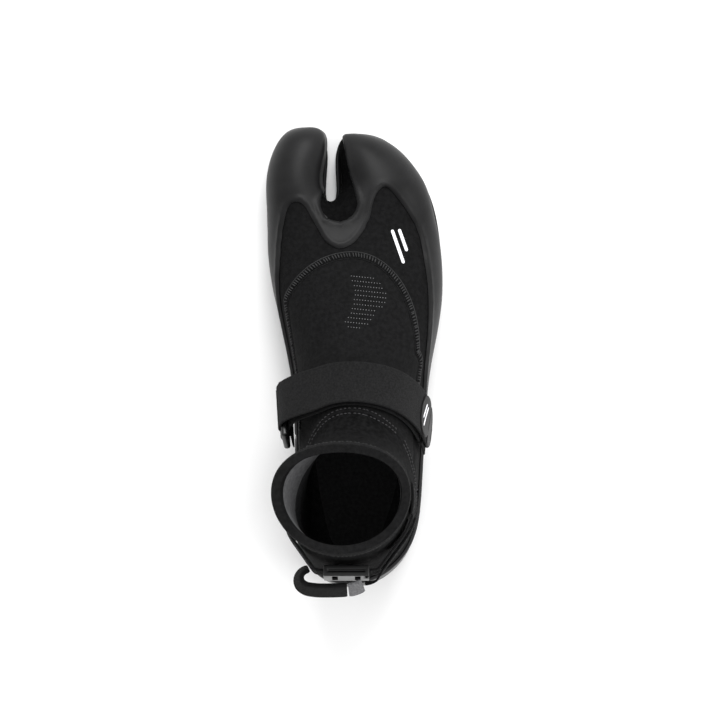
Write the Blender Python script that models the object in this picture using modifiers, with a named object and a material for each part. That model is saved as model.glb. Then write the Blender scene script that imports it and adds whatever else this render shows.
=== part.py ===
"""Split-toe neoprene reef boot for the right foot, about EU 42, standing on its sole.

Metres, +Z up, +Y towards the toes, +X towards the little toe. The foot's own coordinates put the
split between the toes near x = -19 mm; the last step moves the boot so that its origin is the
bottom centre of its box. The upper is one smooth form, cut into panels along its seam lines.
"""

import math

import bmesh
import bpy
from mathutils import Matrix, Vector
from mathutils.bvhtree import BVHTree
from mathutils.geometry import convex_hull_2d

MM = 0.001

# ---------------------------------------------------------------- driving dimensions, in mm
NEOPRENE = 3.0  # thickness of the foam panels
GUSSET = 2.0  # the softer foam in the throat of the split
GUSSET_INSET = 0.8
LINING = 0.8
RUBBER = 1.6  # thickness of the toe cap, rand and heel counter
GAP = 0.3  # air between pieces that touch
RUBBER_GAP = 0.5
LINING_GAP = 0.9  # air outside the lining, whose mesh has none of the outer seams
SEAM_GAP = 0.3  # each panel stops this far short of its seam line
SOCK_INSET = 0.45  # and the sock's sole a little further
SNAP = 0.22  # a seam that passes this close to a vertex, as a share of the edge, moves the vertex
SOLE_LIP = 8.6  # the top of the lip round the foot
FORM_FLOOR = 5.6  # underside of the neoprene foot
INSOLE = 3.6

WEBBING = 1.3  # strap thickness
STRAP_WIDTH = 28.0
HOOK = 0.6  # thickness of the hook patch and of the loop patch
RING_WIRE = 2.0  # radius of the strap ring's bars
RING_CLEAR = 30.0  # inside width of the strap ring
HEEL_WEBBING = 1.6
HEEL_BAND = 17.0  # height of the heel strap and the pull loop

SLIDE_WIDTH = 27.0
SLIDE_HEIGHT = 22.0
SLOT = 3.2  # width of the slider's two slots, and how far they are from its middle
SLOT_PLACE = 6.5

# Centre of the finished boot's plan box, in the foot's own coordinates.
PLAN_CENTRE = (-4.173, 3.704)

# ---------------------------------------------------------------- the foot form's cage
# Half sections from the top point round one side to the bottom point: share of the half width,
# share of the height. The foot's has a flat sole, the shaft's is egg shaped and narrow behind.
FOOT_HALF = ((0.0, 1.0), (0.52, 0.93), (0.88, 0.66), (1.0, 0.33), (0.965, 0.06), (0.55, 0.0), (0.0, 0.0))
SHAFT_HALF = ((0.0, 1.0), (0.55, 0.95), (0.92, 0.77), (1.0, 0.51), (0.84, 0.25), (0.47, 0.06), (0.0, 0.0))

# Sections from the split to the collar: front y, front z, back y, back z, medial x, lateral x,
# x of the section's middle line, share of the shaft's shape.
SECTIONS = (
    (85.0, 39.5, 86.0, FORM_FLOOR, -56.5, 45.5, -19.0, 0.0),
    (67.0, 46.0, 67.0, FORM_FLOOR, -57.0, 49.5, -15.0, 0.0),
    (46.0, 52.5, 43.0, FORM_FLOOR, -54.0, 50.0, -11.0, 0.0),
    (26.0, 61.0, 18.0, FORM_FLOOR, -47.5, 47.0, -9.0, 0.0),
    (8.0, 71.0, -10.0, FORM_FLOOR, -41.5, 41.3, -8.0, 0.0),
    (-9.0, 81.0, -40.0, FORM_FLOOR, -39.0, 39.0, -7.0, 0.05),
    (-22.0, 90.0, -72.0, FORM_FLOOR, -39.0, 37.4, -6.5, 0.15),
    (-31.0, 99.0, -106.0, FORM_FLOOR, -38.5, 36.0, -6.0, 0.35),
    (-36.5, 108.0, -131.0, 8.5, -38.5, 34.5, -6.0, 0.6),
    (-39.5, 117.0, -139.5, 30.0, -40.0, 32.5, -6.0, 0.85),
    (-41.5, 126.0, -130.0, 69.0, -43.0, 29.5, -7.5, 1.0),
    (-43.0, 134.5, -115.5, 106.0, -46.5, 28.0, -9.0, 1.0),
    (-44.0, 143.4, -109.0, 138.2, -49.5, 28.0, -10.5, 1.0),
    (-44.3, 152.4, -107.5, 147.4, -51.0, 28.5, -11.0, 1.0),
)
SPLIT_X = -19.0
# The column of points down the back wall of the split: y, z, from the sole up.
SPLIT_COLUMN = ((95.0, 9.0), (94.5, 19.0), (91.5, 30.0))
SPLIT_SOLE_Y = 91.0

# A toe's section: seven points from the shoulder beside the split, over the toe and under it, as
# shares of its width and height, and three up the wall of the split.
TOE_SECTION = ((0.0, 0.82), (0.40, 1.0), (0.80, 0.86), (1.0, 0.44), (0.95, 0.06), (0.5, 0.0), (0.05, 0.0))
TOE_WALL = ((0.14, 0.0), (0.40, 0.25), (0.64, 0.65))
# Toe sections: y, x of the wall, outer x, how far the shoulder stands back from the wall, top z.
BIG_TOE = (
    (105.0, -25.5, -58.0, 2.5, 38.0),
    (117.0, -25.0, -57.0, 2.0, 35.5),
    (128.0, -23.0, -54.0, 1.5, 32.5),
    (137.5, -22.3, -49.0, 1.0, 28.0),
    (142.5, -25.5, -42.0, 0.5, 20.0),
)
SMALL_TOES = (
    (105.0, -12.5, 41.5, 10.5, 39.5),
    (115.0, -12.8, 35.5, 8.5, 37.0),
    (124.5, -13.8, 28.5, 7.0, 33.5),
    (132.5, -14.5, 19.5, 5.0, 28.5),
    (138.5, -13.0, 7.0, 3.0, 20.5),
)

# ---------------------------------------------------------------- seam lines, in mm
ARCH_CENTRE = (-5.0, 5.0)  # the seam behind the toes is half an ellipse, wider on the medial side
ARCH_MEDIAL = 48.0
ARCH_LATERAL = 38.0
ARCH_FORWARD = 57.5
ARCH_SPREAD = 0.6  # how fast the seam spreads sideways behind the ellipse's centre
ARCH_LOW_MEDIAL = 38.0  # height of the seam on the sides of the foot
ARCH_LOW_LATERAL = 45.0
ARCH_RISE = 0.35
ANKLE_FRONT = (-27.0, 94.0)  # y and z where the ankle seam crosses the instep
ANKLE_SLOPE = 0.65
HEEL_SEAM_Y = -78.0
COLLAR_TOP = (-76.0, 149.7, 0.075)  # y, z and slope of the collar's edge
BINDING = 9.0  # height of the collar's binding
BINDING_PROUD = 0.8
LINING_LOW = 45.0  # the lining reaches this far below the collar's edge
RAND_END = (-46.0, 30.0, 0.4)  # the rand meets the heel counter here: y, z and slope
FOXING_Z = 10.8  # the rubber's lower edge, just above the sole's lip
# Height of the rubber's upper edge along each side of the foot: y, z.
MEDIAL_TOP = (
    (-150.0, 62.0), (-115.0, 60.0), (-85.0, 44.0), (-45.0, 31.0), (0.0, 27.0), (26.0, 28.0), (50.0, 33.0),
    (66.0, 32.0), (80.0, 29.0), (100.0, 25.0),
)
LATERAL_TOP = (
    (-150.0, 62.0), (-115.0, 60.0), (-85.0, 50.0), (-45.0, 41.0), (-5.0, 39.0), (26.0, 38.0), (46.0, 36.0),
    (66.0, 33.0), (80.0, 30.0), (100.0, 26.0),
)
# The toe cap's rear edge: x and the y it reaches back to, over both toes and round the split.
CAP_EDGE = (
    (-60.0, 20.0), (-50.0, 48.0), (-47.5, 76.0), (-44.5, 92.0), (-39.2, 96.6), (-34.0, 93.6), (-29.2, 85.3),
    (-22.0, 73.0), (-17.5, 69.0), (-12.4, 67.6), (-5.3, 70.6), (0.0, 76.8), (4.2, 84.5), (8.0, 98.2),
    (10.8, 103.6), (14.8, 105.5), (20.4, 100.8), (31.2, 85.2), (37.3, 69.5), (41.0, 56.0), (60.0, 20.0),
)
CAP_LOW = 22.0  # the form's mesh is finer beside this edge: above, ahead of and within these
CAP_REAR = 45.0
CAP_NEAR = 14.0
GUSSET_BACK = 84.5  # the rim of the split: its rearmost y, then its half width and its middle
GUSSET_HALF = 11.3
GUSSET_MIDDLE = -13.6
GUSSET_RUN = 41.0  # over this length ahead, the rim closes in by these amounts
GUSSET_CLOSE = 6.8
GUSSET_DRIFT = 2.0


def clear_scene():
    for obj in list(bpy.data.objects):
        bpy.data.objects.remove(obj)


def collection(name):
    made = bpy.data.collections.new(name)
    bpy.context.scene.collection.children.link(made)
    return made


def material(name, colour, roughness, metallic=0.0):
    made = bpy.data.materials.new(name)
    made.use_nodes = True
    shader = made.node_tree.nodes["Principled BSDF"]
    shader.inputs["Base Color"].default_value = (*colour, 1.0)
    shader.inputs["Roughness"].default_value = roughness
    shader.inputs["Metallic"].default_value = metallic
    return made


def add_mesh(name, bm, finish, where):
    """An object in the boot's collection from a bmesh in millimetres."""
    bmesh.ops.scale(bm, vec=(MM, MM, MM), verts=bm.verts)
    mesh = bpy.data.meshes.new(name)
    bm.to_mesh(mesh)
    bm.free()
    mesh.shade_smooth()
    mesh.set_sharp_from_angle(angle=math.radians(40))
    obj = bpy.data.objects.new(name, mesh)
    where.objects.link(obj)
    obj.data.materials.append(finish)
    return obj


# ---------------------------------------------------------------- the foot form
def section_ring(section):
    """Twelve points of one section: the top, down the lateral side, the bottom, up the medial side."""
    front_y, front_z, back_y, back_z, medial, lateral, middle, shaft = section
    half = [
        tuple(a + (b - a) * shaft for a, b in zip(foot, leg))
        for foot, leg in zip(FOOT_HALF, SHAFT_HALF)
    ]

    def point(across, up, side):
        x = middle + across * (side - middle)
        return Vector((x, back_y + up * (front_y - back_y), back_z + up * (front_z - back_z)))

    down = [point(*half[i], lateral) for i in range(7)]
    rise = [point(*half[i], medial) for i in range(5, 0, -1)]
    return down + rise


def toe_ring(toe):
    """Ten points round one toe: seven over and under it, then three up the wall of the split."""
    y, wall, outer, back_off, top = toe
    away = math.copysign(back_off, outer - wall)
    ring = []
    for i, (across, up) in enumerate(TOE_SECTION):
        x = wall + across * (outer - wall) + (away if i == 0 else 0.0)
        ring.append(Vector((x, y, FORM_FLOOR + up * (top - FORM_FLOOR))))
    for up, share in TOE_WALL:
        ring.append(Vector((wall + away * share, y, FORM_FLOOR + up * (top - FORM_FLOOR))))
    return ring


def bridge(bm, first, second):
    """Quads between two closed rings of vertices."""
    n = len(first)
    for i in range(n):
        bm.faces.new((first[i], first[(i + 1) % n], second[(i + 1) % n], second[i]))


def make_form():
    """The outer surface of the neoprene foot, as one subdivided sheet that is open at the collar."""
    bm = bmesh.new()
    rings = [[bm.verts.new(p) for p in section_ring(s)] for s in SECTIONS]
    rings[0][6].co.y = SPLIT_SOLE_Y
    for first, second in zip(rings, rings[1:]):
        bridge(bm, first, second)
    column = [bm.verts.new((SPLIT_X, y, z)) for y, z in SPLIT_COLUMN]
    root = rings[0]
    starts = (
        (SMALL_TOES, root[0:7] + column),
        (BIG_TOE, [root[0]] + root[11:5:-1] + column),
    )
    for toes, previous in starts:
        for toe in toes:
            ring = [bm.verts.new(p) for p in toe_ring(toe)]
            bridge(bm, previous, ring)
            previous = ring
        for a, b, c, d in ((0, 1, 2, 9), (9, 2, 3, 8), (8, 3, 4, 7), (7, 4, 5, 6)):
            bm.faces.new((previous[a], previous[b], previous[c], previous[d]))
    bmesh.ops.recalc_face_normals(bm, faces=bm.faces)
    mesh = bpy.data.meshes.new("foot_form")
    bm.to_mesh(mesh)
    bm.free()
    obj = bpy.data.objects.new("foot_form", mesh)
    bpy.context.scene.collection.objects.link(obj)
    smooth = obj.modifiers.new("Subdivision", "SUBSURF")
    smooth.levels = smooth.render_levels = 1
    bpy.context.view_layer.update()
    evaluated = obj.evaluated_get(bpy.context.evaluated_depsgraph_get())
    form = bmesh.new()
    form.from_mesh(evaluated.to_mesh())
    bpy.data.objects.remove(obj)
    # The winding of a loft is the same all over, so one look at the heel turns it outwards.
    form.normal_update()
    heel = min(form.verts, key=lambda v: v.co.y)
    if heel.normal.y > 0:
        bmesh.ops.reverse_faces(form, faces=form.faces)
    return form


# ---------------------------------------------------------------- seam lines as signed fields
def smooth_line(points, x):
    """y at x on a smooth curve through points that are sorted by x."""
    i = max(0, min(len(points) - 2, sum(p[0] <= x for p in points) - 1))
    (x0, y0), (x1, y1) = points[i], points[i + 1]

    def slope(k):
        a, b = points[max(k - 1, 0)], points[min(k + 1, len(points) - 1)]
        return (b[1] - a[1]) / (b[0] - a[0])

    t = max(0.0, min(1.0, (x - x0) / (x1 - x0)))
    run = x1 - x0
    return (
        (1 + 2 * t) * (1 - t) ** 2 * y0
        + t * (1 - t) ** 2 * run * slope(i)
        + t * t * (3 - 2 * t) * y1
        + t * t * (t - 1) * run * slope(i + 1)
    )


def ankle_line(p):
    """Above zero in the ankle cuff."""
    return p.z - (ANKLE_FRONT[1] + ANKLE_SLOPE * (p.y - ANKLE_FRONT[0]))


def arch_line(p):
    """Above zero in the instep panel, on top of the foot behind the arched seam."""
    medial = p.x < ARCH_CENTRE[0]
    radius = ARCH_MEDIAL if medial else ARCH_LATERAL
    low = ARCH_LOW_MEDIAL if medial else ARCH_LOW_LATERAL
    across = (p.x - ARCH_CENTRE[0]) / radius
    behind = ARCH_CENTRE[1] - p.y
    along = max(0.0, -behind) / ARCH_FORWARD
    inside = (1.0 - math.hypot(across, along)) * radius + ARCH_SPREAD * max(0.0, behind)
    return min(inside, p.z - low - ARCH_RISE * max(0.0, -p.y))


def heel_line(p):
    return HEEL_SEAM_Y - p.y


def collar_line(p, below):
    """Above zero within that distance of the collar's edge."""
    return p.z - (COLLAR_TOP[1] + COLLAR_TOP[2] * (p.y - COLLAR_TOP[0])) + below


def rubber_line(p):
    """Above zero where rubber covers the neoprene."""
    tops = MEDIAL_TOP if p.x < ARCH_CENTRE[0] else LATERAL_TOP
    return max(smooth_line(tops, p.y) - p.z, p.y - smooth_line(CAP_EDGE, p.x))


def foxing_line(p):
    return p.z - FOXING_Z


def rand_line(p):
    """Above zero in front of the slanting joint between the rand and the heel counter."""
    y, z, slope = RAND_END
    return p.y - y + slope * (p.z - z)


def gusset_line(p):
    """Above zero in the throat of the split."""
    ahead = p.y - GUSSET_BACK
    if ahead <= 0:
        return ahead - abs(p.x - GUSSET_MIDDLE)
    on = max(0.0, ahead - GUSSET_HALF) / GUSSET_RUN
    round_end = min(1.0, ahead / GUSSET_HALF)
    half = GUSSET_HALF * math.sqrt(1 - (1 - round_end) ** 2) - GUSSET_CLOSE * on
    return half - abs(p.x - GUSSET_MIDDLE + GUSSET_DRIFT * on)


def crossing(field, start, end):
    """Share of the way from start to end at which field changes sign."""
    low, high = 0.0, 1.0
    rising = field(start) < 0
    for _ in range(12):
        middle = (low + high) / 2
        if (field(start.lerp(end, middle)) < 0) == rising:
            low = middle
        else:
            high = middle
    return (low + high) / 2


def refine(form, near):
    """Halves the form's faces where near is true of their middles."""
    edges = {e for f in form.faces if near(f.calc_center_median()) for e in f.edges}
    bmesh.ops.subdivide_edges(form, edges=list(edges), cuts=1, use_grid_fill=True)


def score(form, field, held):
    """Cuts the form's faces along the line where field is zero, so that faces end there."""
    value = {v: field(v.co) for v in form.verts}
    for edge in list(form.edges):
        a, b = edge.verts
        if value[a] * value[b] >= 0:
            continue
        share = crossing(field, a.co, b.co)
        place = a.co.lerp(b.co, share)
        near = a if share < 0.5 else b
        if min(share, 1 - share) < SNAP and near not in held:
            near.co = place
            value[near] = 0.0
            held.add(near)
        elif min(share, 1 - share) < SNAP / 2:
            value[near] = 0.0
        else:
            _, made = bmesh.utils.edge_split(edge, a, share)
            made.co = place
            value[made] = 0.0
            held.add(made)
    for face in list(form.faces):
        signs = [value[v] for v in face.verts]
        zeros = [v for v in face.verts if value[v] == 0.0]
        if min(signs) < 0 < max(signs) and len(zeros) >= 2:
            first, last = zeros[0], zeros[-1]
            if len(zeros) == 2 or not form.edges.get((first, last)):
                bmesh.utils.face_split(face, first, last)


def near_cap_edge(p):
    """True beside the toe cap's edge on top of the foot."""
    return p.z > CAP_LOW and p.y > CAP_REAR and abs(p.y - smooth_line(CAP_EDGE, p.x)) < CAP_NEAR


def mark_seams(form):
    refine(form, near_cap_edge)
    held = {v for v in form.verts if v.is_boundary}
    for field in (gusset_line, arch_line, rubber_line, ankle_line, foxing_line, heel_line, rand_line):
        score(form, field, held)
    for depth in (BINDING, LINING_LOW):
        score(form, lambda p: collar_line(p, depth), held)
    keep_normals(form)


def keep_normals(form):
    """Stores the whole form's normals, which a piece of it would lose along its edges."""
    form.normal_update()
    layers = form.verts.layers.float_vector
    layer = layers.get("form_normal") or layers.new("form_normal")
    for vert in form.verts:
        vert[layer] = vert.normal


def shell(name, form, wanted, inner, outer, finish, where, inset=SEAM_GAP):
    """A closed panel from the wanted faces of the form, between two distances from it."""
    bm = form.copy()
    normal = bm.verts.layers.float_vector["form_normal"]
    unwanted = [f for f in bm.faces if not wanted(f.calc_center_median())]
    bmesh.ops.delete(bm, geom=unwanted, context="FACES")
    steps = {}
    for vert in bm.verts:
        if vert.is_boundary:
            pull = sum((f.calc_center_median() - vert.co for f in vert.link_faces), Vector())
            pull -= pull.dot(vert[normal]) * vert[normal]
            steps[vert] = pull.normalized() * inset
    for vert in bm.verts:
        vert.co += vert[normal] * inner + steps.get(vert, Vector())
    sheet = bm.faces[:]
    made = bmesh.ops.extrude_face_region(bm, geom=sheet, use_keep_orig=True)
    for vert in made["geom"]:
        if isinstance(vert, bmesh.types.BMVert):
            vert.co += vert[normal] * (outer - inner)
    bmesh.ops.recalc_face_normals(bm, faces=bm.faces)
    return add_mesh(name, bm, finish, where)


def closed_form(name, form, offset, where):
    """The whole form moved out by offset and closed at the collar, as a cutter."""
    bm = form.copy()
    normal = bm.verts.layers.float_vector["form_normal"]
    for vert in bm.verts:
        vert.co += vert[normal] * offset
    rim = [e for e in bm.edges if e.is_boundary]
    bmesh.ops.holes_fill(bm, edges=rim, sides=0)
    bmesh.ops.recalc_face_normals(bm, faces=bm.faces)
    return hide(add_mesh(name, bm, bpy.data.materials["rubber"], where))


def hide(cutter):
    cutter.hide_render = True
    cutter.display_type = "WIRE"
    return cutter


def cut(obj, cutter, operation):
    modifier = obj.modifiers.new(operation.title(), "BOOLEAN")
    modifier.operation = operation
    modifier.object = cutter
    modifier.solver = "EXACT"


# ---------------------------------------------------------------- sole
# The outsole's outline in plan, from the heel round the little toe to the big toe and back, in mm.
OUTLINE = (
    (-2.0, -134.5), (15.0, -131.0), (28.5, -118.0), (35.0, -97.0), (37.5, -72.0), (38.5, -45.0),
    (40.5, -15.0),
    (44.5, 12.0), (48.0, 40.0), (49.2, 68.0), (45.0, 95.0), (36.5, 114.0), (24.0, 129.0), (7.0, 138.0),
    (-9.0, 139.5), (-15.6, 128.0), (-15.4, 104.0), (-18.6, 96.0), (-21.8, 104.0), (-20.9, 130.0),
    (-26.0, 141.0), (-38.0, 143.0), (-51.0, 134.0), (-57.2, 111.0), (-57.9, 80.0), (-54.2, 48.0),
    (-47.4, 18.0), (-41.0, -14.0),
    (-38.2, -45.0), (-38.5, -72.0), (-37.5, -97.0), (-32.0, -117.0), (-19.0, -131.0),
)
TREAD_DEPTH = 1.8
FORE_GROOVES = (-2.0, 14.0, 30.0, 46.0, 62.0, 78.0)
HEEL_GROOVES = (-112.0, -98.0, -84.0, -70.0, -56.0)
GROOVE = 3.2


def smooth_outline(points, steps):
    """A closed Catmull-Rom outline through the points."""
    n = len(points)
    outline = []
    for i in range(n):
        p0, p1, p2, p3 = (Vector(points[(i + k) % n]) for k in (-1, 0, 1, 2))
        for s in range(steps):
            t = s / steps
            outline.append(
                0.5 * (2 * p1 + (p2 - p0) * t + (2 * p0 - 5 * p1 + 4 * p2 - p3) * t * t
                       + (3 * p1 - p0 - 3 * p2 + p3) * t ** 3)
            )
    return outline


def prism(name, outline, low, high, finish, where):
    bm = bmesh.new()
    face = bm.faces.new([bm.verts.new((p[0], p[1], low)) for p in outline])
    made = bmesh.ops.extrude_face_region(bm, geom=[face], use_keep_orig=True)
    for vert in made["geom"]:
        if isinstance(vert, bmesh.types.BMVert):
            vert.co.z = high
    bmesh.ops.recalc_face_normals(bm, faces=bm.faces)
    return add_mesh(name, bm, finish, where)


def make_outsole(form, finish, where, cutters):
    sole = prism("outsole", smooth_outline(OUTLINE, 2), 0.0, SOLE_LIP, finish, where)
    cut(sole, closed_form("foot_hollow", form, GAP, cutters), "DIFFERENCE")
    rows = bmesh.new()
    for y in FORE_GROOVES + HEEL_GROOVES:
        turn = Matrix.Translation((-4.0, y, 0.0)) @ Matrix.Diagonal((150.0, GROOVE, 2 * TREAD_DEPTH, 1.0))
        bmesh.ops.create_cube(rows, size=1.0, matrix=turn)
    bmesh.ops.recalc_face_normals(rows, faces=rows.faces)
    cut(sole, hide(add_mesh("tread_grooves", rows, finish, cutters)), "DIFFERENCE")
    return sole


def make_insole(form, finish, where):
    """A foam footbed that fills the floor of the lined foot up to a flat top."""
    bm = form.copy()
    normal = bm.verts.layers.float_vector["form_normal"]
    inwards = NEOPRENE + LINING_GAP + LINING + GAP / 2
    for vert in bm.verts:
        vert.co -= vert[normal] * inwards
    top = Vector((0.0, 0.0, FORM_FLOOR + inwards + GAP / 2 + INSOLE))
    whole = bm.verts[:] + bm.edges[:] + bm.faces[:]
    bmesh.ops.bisect_plane(bm, geom=whole, dist=SNAP, plane_co=top, plane_no=(0, 0, 1), clear_outer=True)
    rim = [e for e in bm.edges if e.is_boundary]
    bmesh.ops.holes_fill(bm, edges=rim, sides=0)
    bmesh.ops.recalc_face_normals(bm, faces=bm.faces)
    if bm.calc_volume(signed=True) < 0:
        bmesh.ops.reverse_faces(bm, faces=bm.faces)
    return add_mesh("insole", bm, finish, where)


# ---------------------------------------------------------------- bands that follow the form
def frame(centre, across, out):
    """A plane through centre that a band runs round in: its centre, width and two plane axes."""
    across = Vector(across).normalized()
    side = Vector((1.0, 0.0, 0.0))
    out = (Vector(out) - Vector(out).dot(across) * across).normalized()
    return Vector(centre), across, side, out


STRAP_PLANE = frame((-5.0, -33.0, 56.0), (0.0, -0.83, 0.56), (0.0, 0.56, 0.83))
HEEL_PLANE = frame((-8.5, -82.0, 97.0), (0.0, 0.23, 0.97), (0.0, -1.0, 0.0))


def surface_point(tree, plane, angle, shift):
    """Where the form meets a ray in the band's plane, and the smoothed normal there."""
    centre, across, side, out = plane
    hits = []
    for turn in (-4.0, 0.0, 4.0):
        a = math.radians(angle + turn)
        ray = side * math.cos(a) + out * math.sin(a)
        hits.append(tree.ray_cast(centre + across * shift, ray)[0])
    along = hits[2] - hits[0]
    normal = along.cross(across).normalized()
    if normal.dot(hits[1] - centre) < 0:
        normal = -normal
    return hits[1], normal


def band(name, rows, inner, outer, finish, where):
    """A closed band from rows of (point, normal) across its width, inner and outer by row number."""
    bm = bmesh.new()
    sheets = []
    for lift in (inner, outer):
        sheets.append([[bm.verts.new(p + n * lift(i)) for p, n in row] for i, row in enumerate(rows)])
    for sheet in sheets:
        for first, second in zip(sheet, sheet[1:]):
            for i in range(len(first) - 1):
                bm.faces.new((first[i], first[i + 1], second[i + 1], second[i]))
    low, high = sheets

    def rim(sheet):
        return [*sheet[0], *[r[-1] for r in sheet[1:]], *sheet[-1][-2::-1], *[r[0] for r in sheet[-2:0:-1]]]

    bridge(bm, rim(low), rim(high))
    bmesh.ops.recalc_face_normals(bm, faces=bm.faces)
    return add_mesh(name, bm, finish, where)


def form_rows(tree, plane, start, stop, count, width, stations=3):
    rows = []
    for i in range(count + 1):
        angle = start + (stop - start) * i / count
        shifts = [width * (k / (stations - 1) - 0.5) for k in range(stations)]
        rows.append([surface_point(tree, plane, angle, shift) for shift in shifts])
    return rows


def level(height):
    return lambda i: height


# Layers of the instep strap, as heights above the neoprene.
UNDER = 1.0
LOOP = UNDER + WEBBING + GAP
HOOKS = LOOP + HOOK + GAP
OVER = HOOKS + HOOK + GAP
MEDIAL_END = 168.0  # angles round the strap's plane, from the little toe's side over the instep
LATERAL_END = -14.0
TAB_END = -27.0
ANCHOR_END = -26.0
ANCHOR_LIFT = RUBBER_GAP + RUBBER + GAP  # the anchor lies over the rubber's upper edge
UNDER_END = MEDIAL_END - 3.0
FLARE_FROM = 118.0  # from here on, both runs stand away from the foot towards the ring
STAND = 8.5
UNDER_START = LATERAL_END + 4.0
PATCH_WIDTH = STRAP_WIDTH - 4.0
LOOP_SPAN = (4.0, 112.0)
HOOK_SPAN = (0.0, 48.0)
TAB_START = LATERAL_END - 1.4
TAB_WIDTH = STRAP_WIDTH - 8.0
TAB_DROP = 0.2
ANCHOR_START = LATERAL_END + 3.2
ANCHOR_WIDTH = STRAP_WIDTH + 2.0
WRAP_END = 168.0  # how far the lower run turns round the ring's bar, in degrees
RING_TILT = 0.4


def flare(angle):
    t = min(1.0, max(0.0, (angle - FLARE_FROM) / (UNDER_END - FLARE_FROM)))
    return t * t * (3 - 2 * t)


def run_heights(start, stop, rows, near, far):
    """Heights of a run's rows, from near over the instep to far at the ring."""
    return lambda i: near + (far - near) * flare(start + (stop - start) * i / (rows - 1))


def ring_frame(tree):
    """Centre of the ring's strap bar, the bar's direction, outward, and down towards the keeper."""
    low, normal = surface_point(tree, STRAP_PLANE, MEDIAL_END, -STRAP_WIDTH / 2)
    high, other = surface_point(tree, STRAP_PLANE, MEDIAL_END, STRAP_WIDTH / 2)
    bar = (high - low).normalized()
    outward = (normal + other).normalized()
    outward = (outward - outward.dot(bar) * bar).normalized()
    down = outward.cross(bar).normalized()
    if down.z > 0:
        down = -down
    centre = (low + high) / 2 + outward * (UNDER + STAND + WEBBING + GAP + RING_WIRE)
    return centre, bar, outward, down


def wrap_rows(centre, bar, outward, down, radius, width, start, stop, count):
    """Rows round a bar: angle 0 faces the foot, 90 is below the bar and 180 is outside it."""
    rows = []
    for i in range(count + 1):
        a = math.radians(start + (stop - start) * i / count)
        normal = -outward * math.cos(a) + down * math.sin(a)
        rows.append([(centre + bar * width * (k / 2 - 0.5) + normal * radius, normal) for k in range(3)])
    return rows


def make_strap(tree, finishes, where):
    strap, plastic, hooks = finishes
    centre, bar, outward, down = ring_frame(tree)
    under = form_rows(tree, STRAP_PLANE, UNDER_START, UNDER_END, 20, STRAP_WIDTH)
    rise = run_heights(UNDER_START, UNDER_END, len(under), UNDER, UNDER + STAND)
    under = [[(p + n * rise(i), n) for p, n in row] for i, row in enumerate(under)]
    turn = wrap_rows(centre, bar, outward, down, RING_WIRE + GAP, STRAP_WIDTH, 0.0, WRAP_END, 7)
    turn = [[(p + n * WEBBING, -n) for p, n in row] for row in turn]
    band("strap_under", under + turn, level(0.0), level(WEBBING), strap, where)
    loops = form_rows(tree, STRAP_PLANE, *LOOP_SPAN, 14, PATCH_WIDTH)
    band("loop_patch", loops, level(LOOP), level(LOOP + HOOK), hooks, where)
    hook = form_rows(tree, STRAP_PLANE, *HOOK_SPAN, 7, PATCH_WIDTH)
    hook_patch = band("hook_patch", hook, level(HOOKS), level(HOOKS + HOOK), hooks, where)
    over = form_rows(tree, STRAP_PLANE, MEDIAL_END, LATERAL_END, 21, STRAP_WIDTH)
    ring_height = UNDER + STAND + WEBBING + GAP + 2 * RING_WIRE + GAP
    height = run_heights(MEDIAL_END, LATERAL_END, len(over), OVER, ring_height)
    strap_over = band("strap_over", over, height, lambda i: height(i) + WEBBING, strap, where)
    tab = form_rows(tree, STRAP_PLANE, TAB_START, TAB_END, 4, TAB_WIDTH)
    strap_tab = band("strap_tab", tab, level(OVER - TAB_DROP), level(OVER + WEBBING), plastic, where)
    anchor = form_rows(tree, STRAP_PLANE, ANCHOR_START, ANCHOR_END, 4, ANCHOR_WIDTH)
    band("strap_anchor", anchor, level(ANCHOR_LIFT), level(ANCHOR_LIFT + WEBBING), strap, where)
    peel = outer_edge(over[0], height(0) + WEBBING)
    lift = outer_edge(over[-1], OVER + WEBBING)
    return strap_over, hook_patch, strap_tab, peel, lift


def outer_edge(row, height):
    """The middle of a band's end, on its outer face, where it folds when it is lifted."""
    first, last = (p + n * height for p, n in (row[0], row[-1]))
    return (first + last) / 2


def tube_frame(name, centre, long_axis, short_axis, long_half, short_half, radius, finish, where):
    """A rounded rectangular ring of round bar."""
    corner = RING_CORNER
    normal = long_axis.cross(short_axis)
    bm = bmesh.new()
    rings = []
    corners = (
        (long_half - corner, short_half - corner, 0.0),
        (-long_half + corner, short_half - corner, 90.0),
        (-long_half + corner, -short_half + corner, 180.0),
        (long_half - corner, -short_half + corner, 270.0),
    )
    for u, v, start in corners:
        for step in range(4):
            a = math.radians(start + 30.0 * step)
            out = long_axis * math.cos(a) + short_axis * math.sin(a)
            middle = centre + long_axis * u + short_axis * v + out * corner
            ring = []
            for k in range(10):
                b = math.tau * k / 10
                ring.append(bm.verts.new(middle + (out * math.cos(b) + normal * math.sin(b)) * radius))
            rings.append(ring)
    for first, second in zip(rings, rings[1:] + rings[:1]):
        bridge(bm, first, second)
    bmesh.ops.recalc_face_normals(bm, faces=bm.faces)
    return add_mesh(name, bm, finish, where)


RING_SHORT = 6.5  # half the distance between the ring's two long bars
RING_CORNER = 3.0
KEEPER_WIDTH = RING_CLEAR - 6.0
KEEPER_TAIL = 12.0
KEEPER_CLOSE = 2.6  # how far the keeper's outer leg closes in on its inner one


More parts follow.
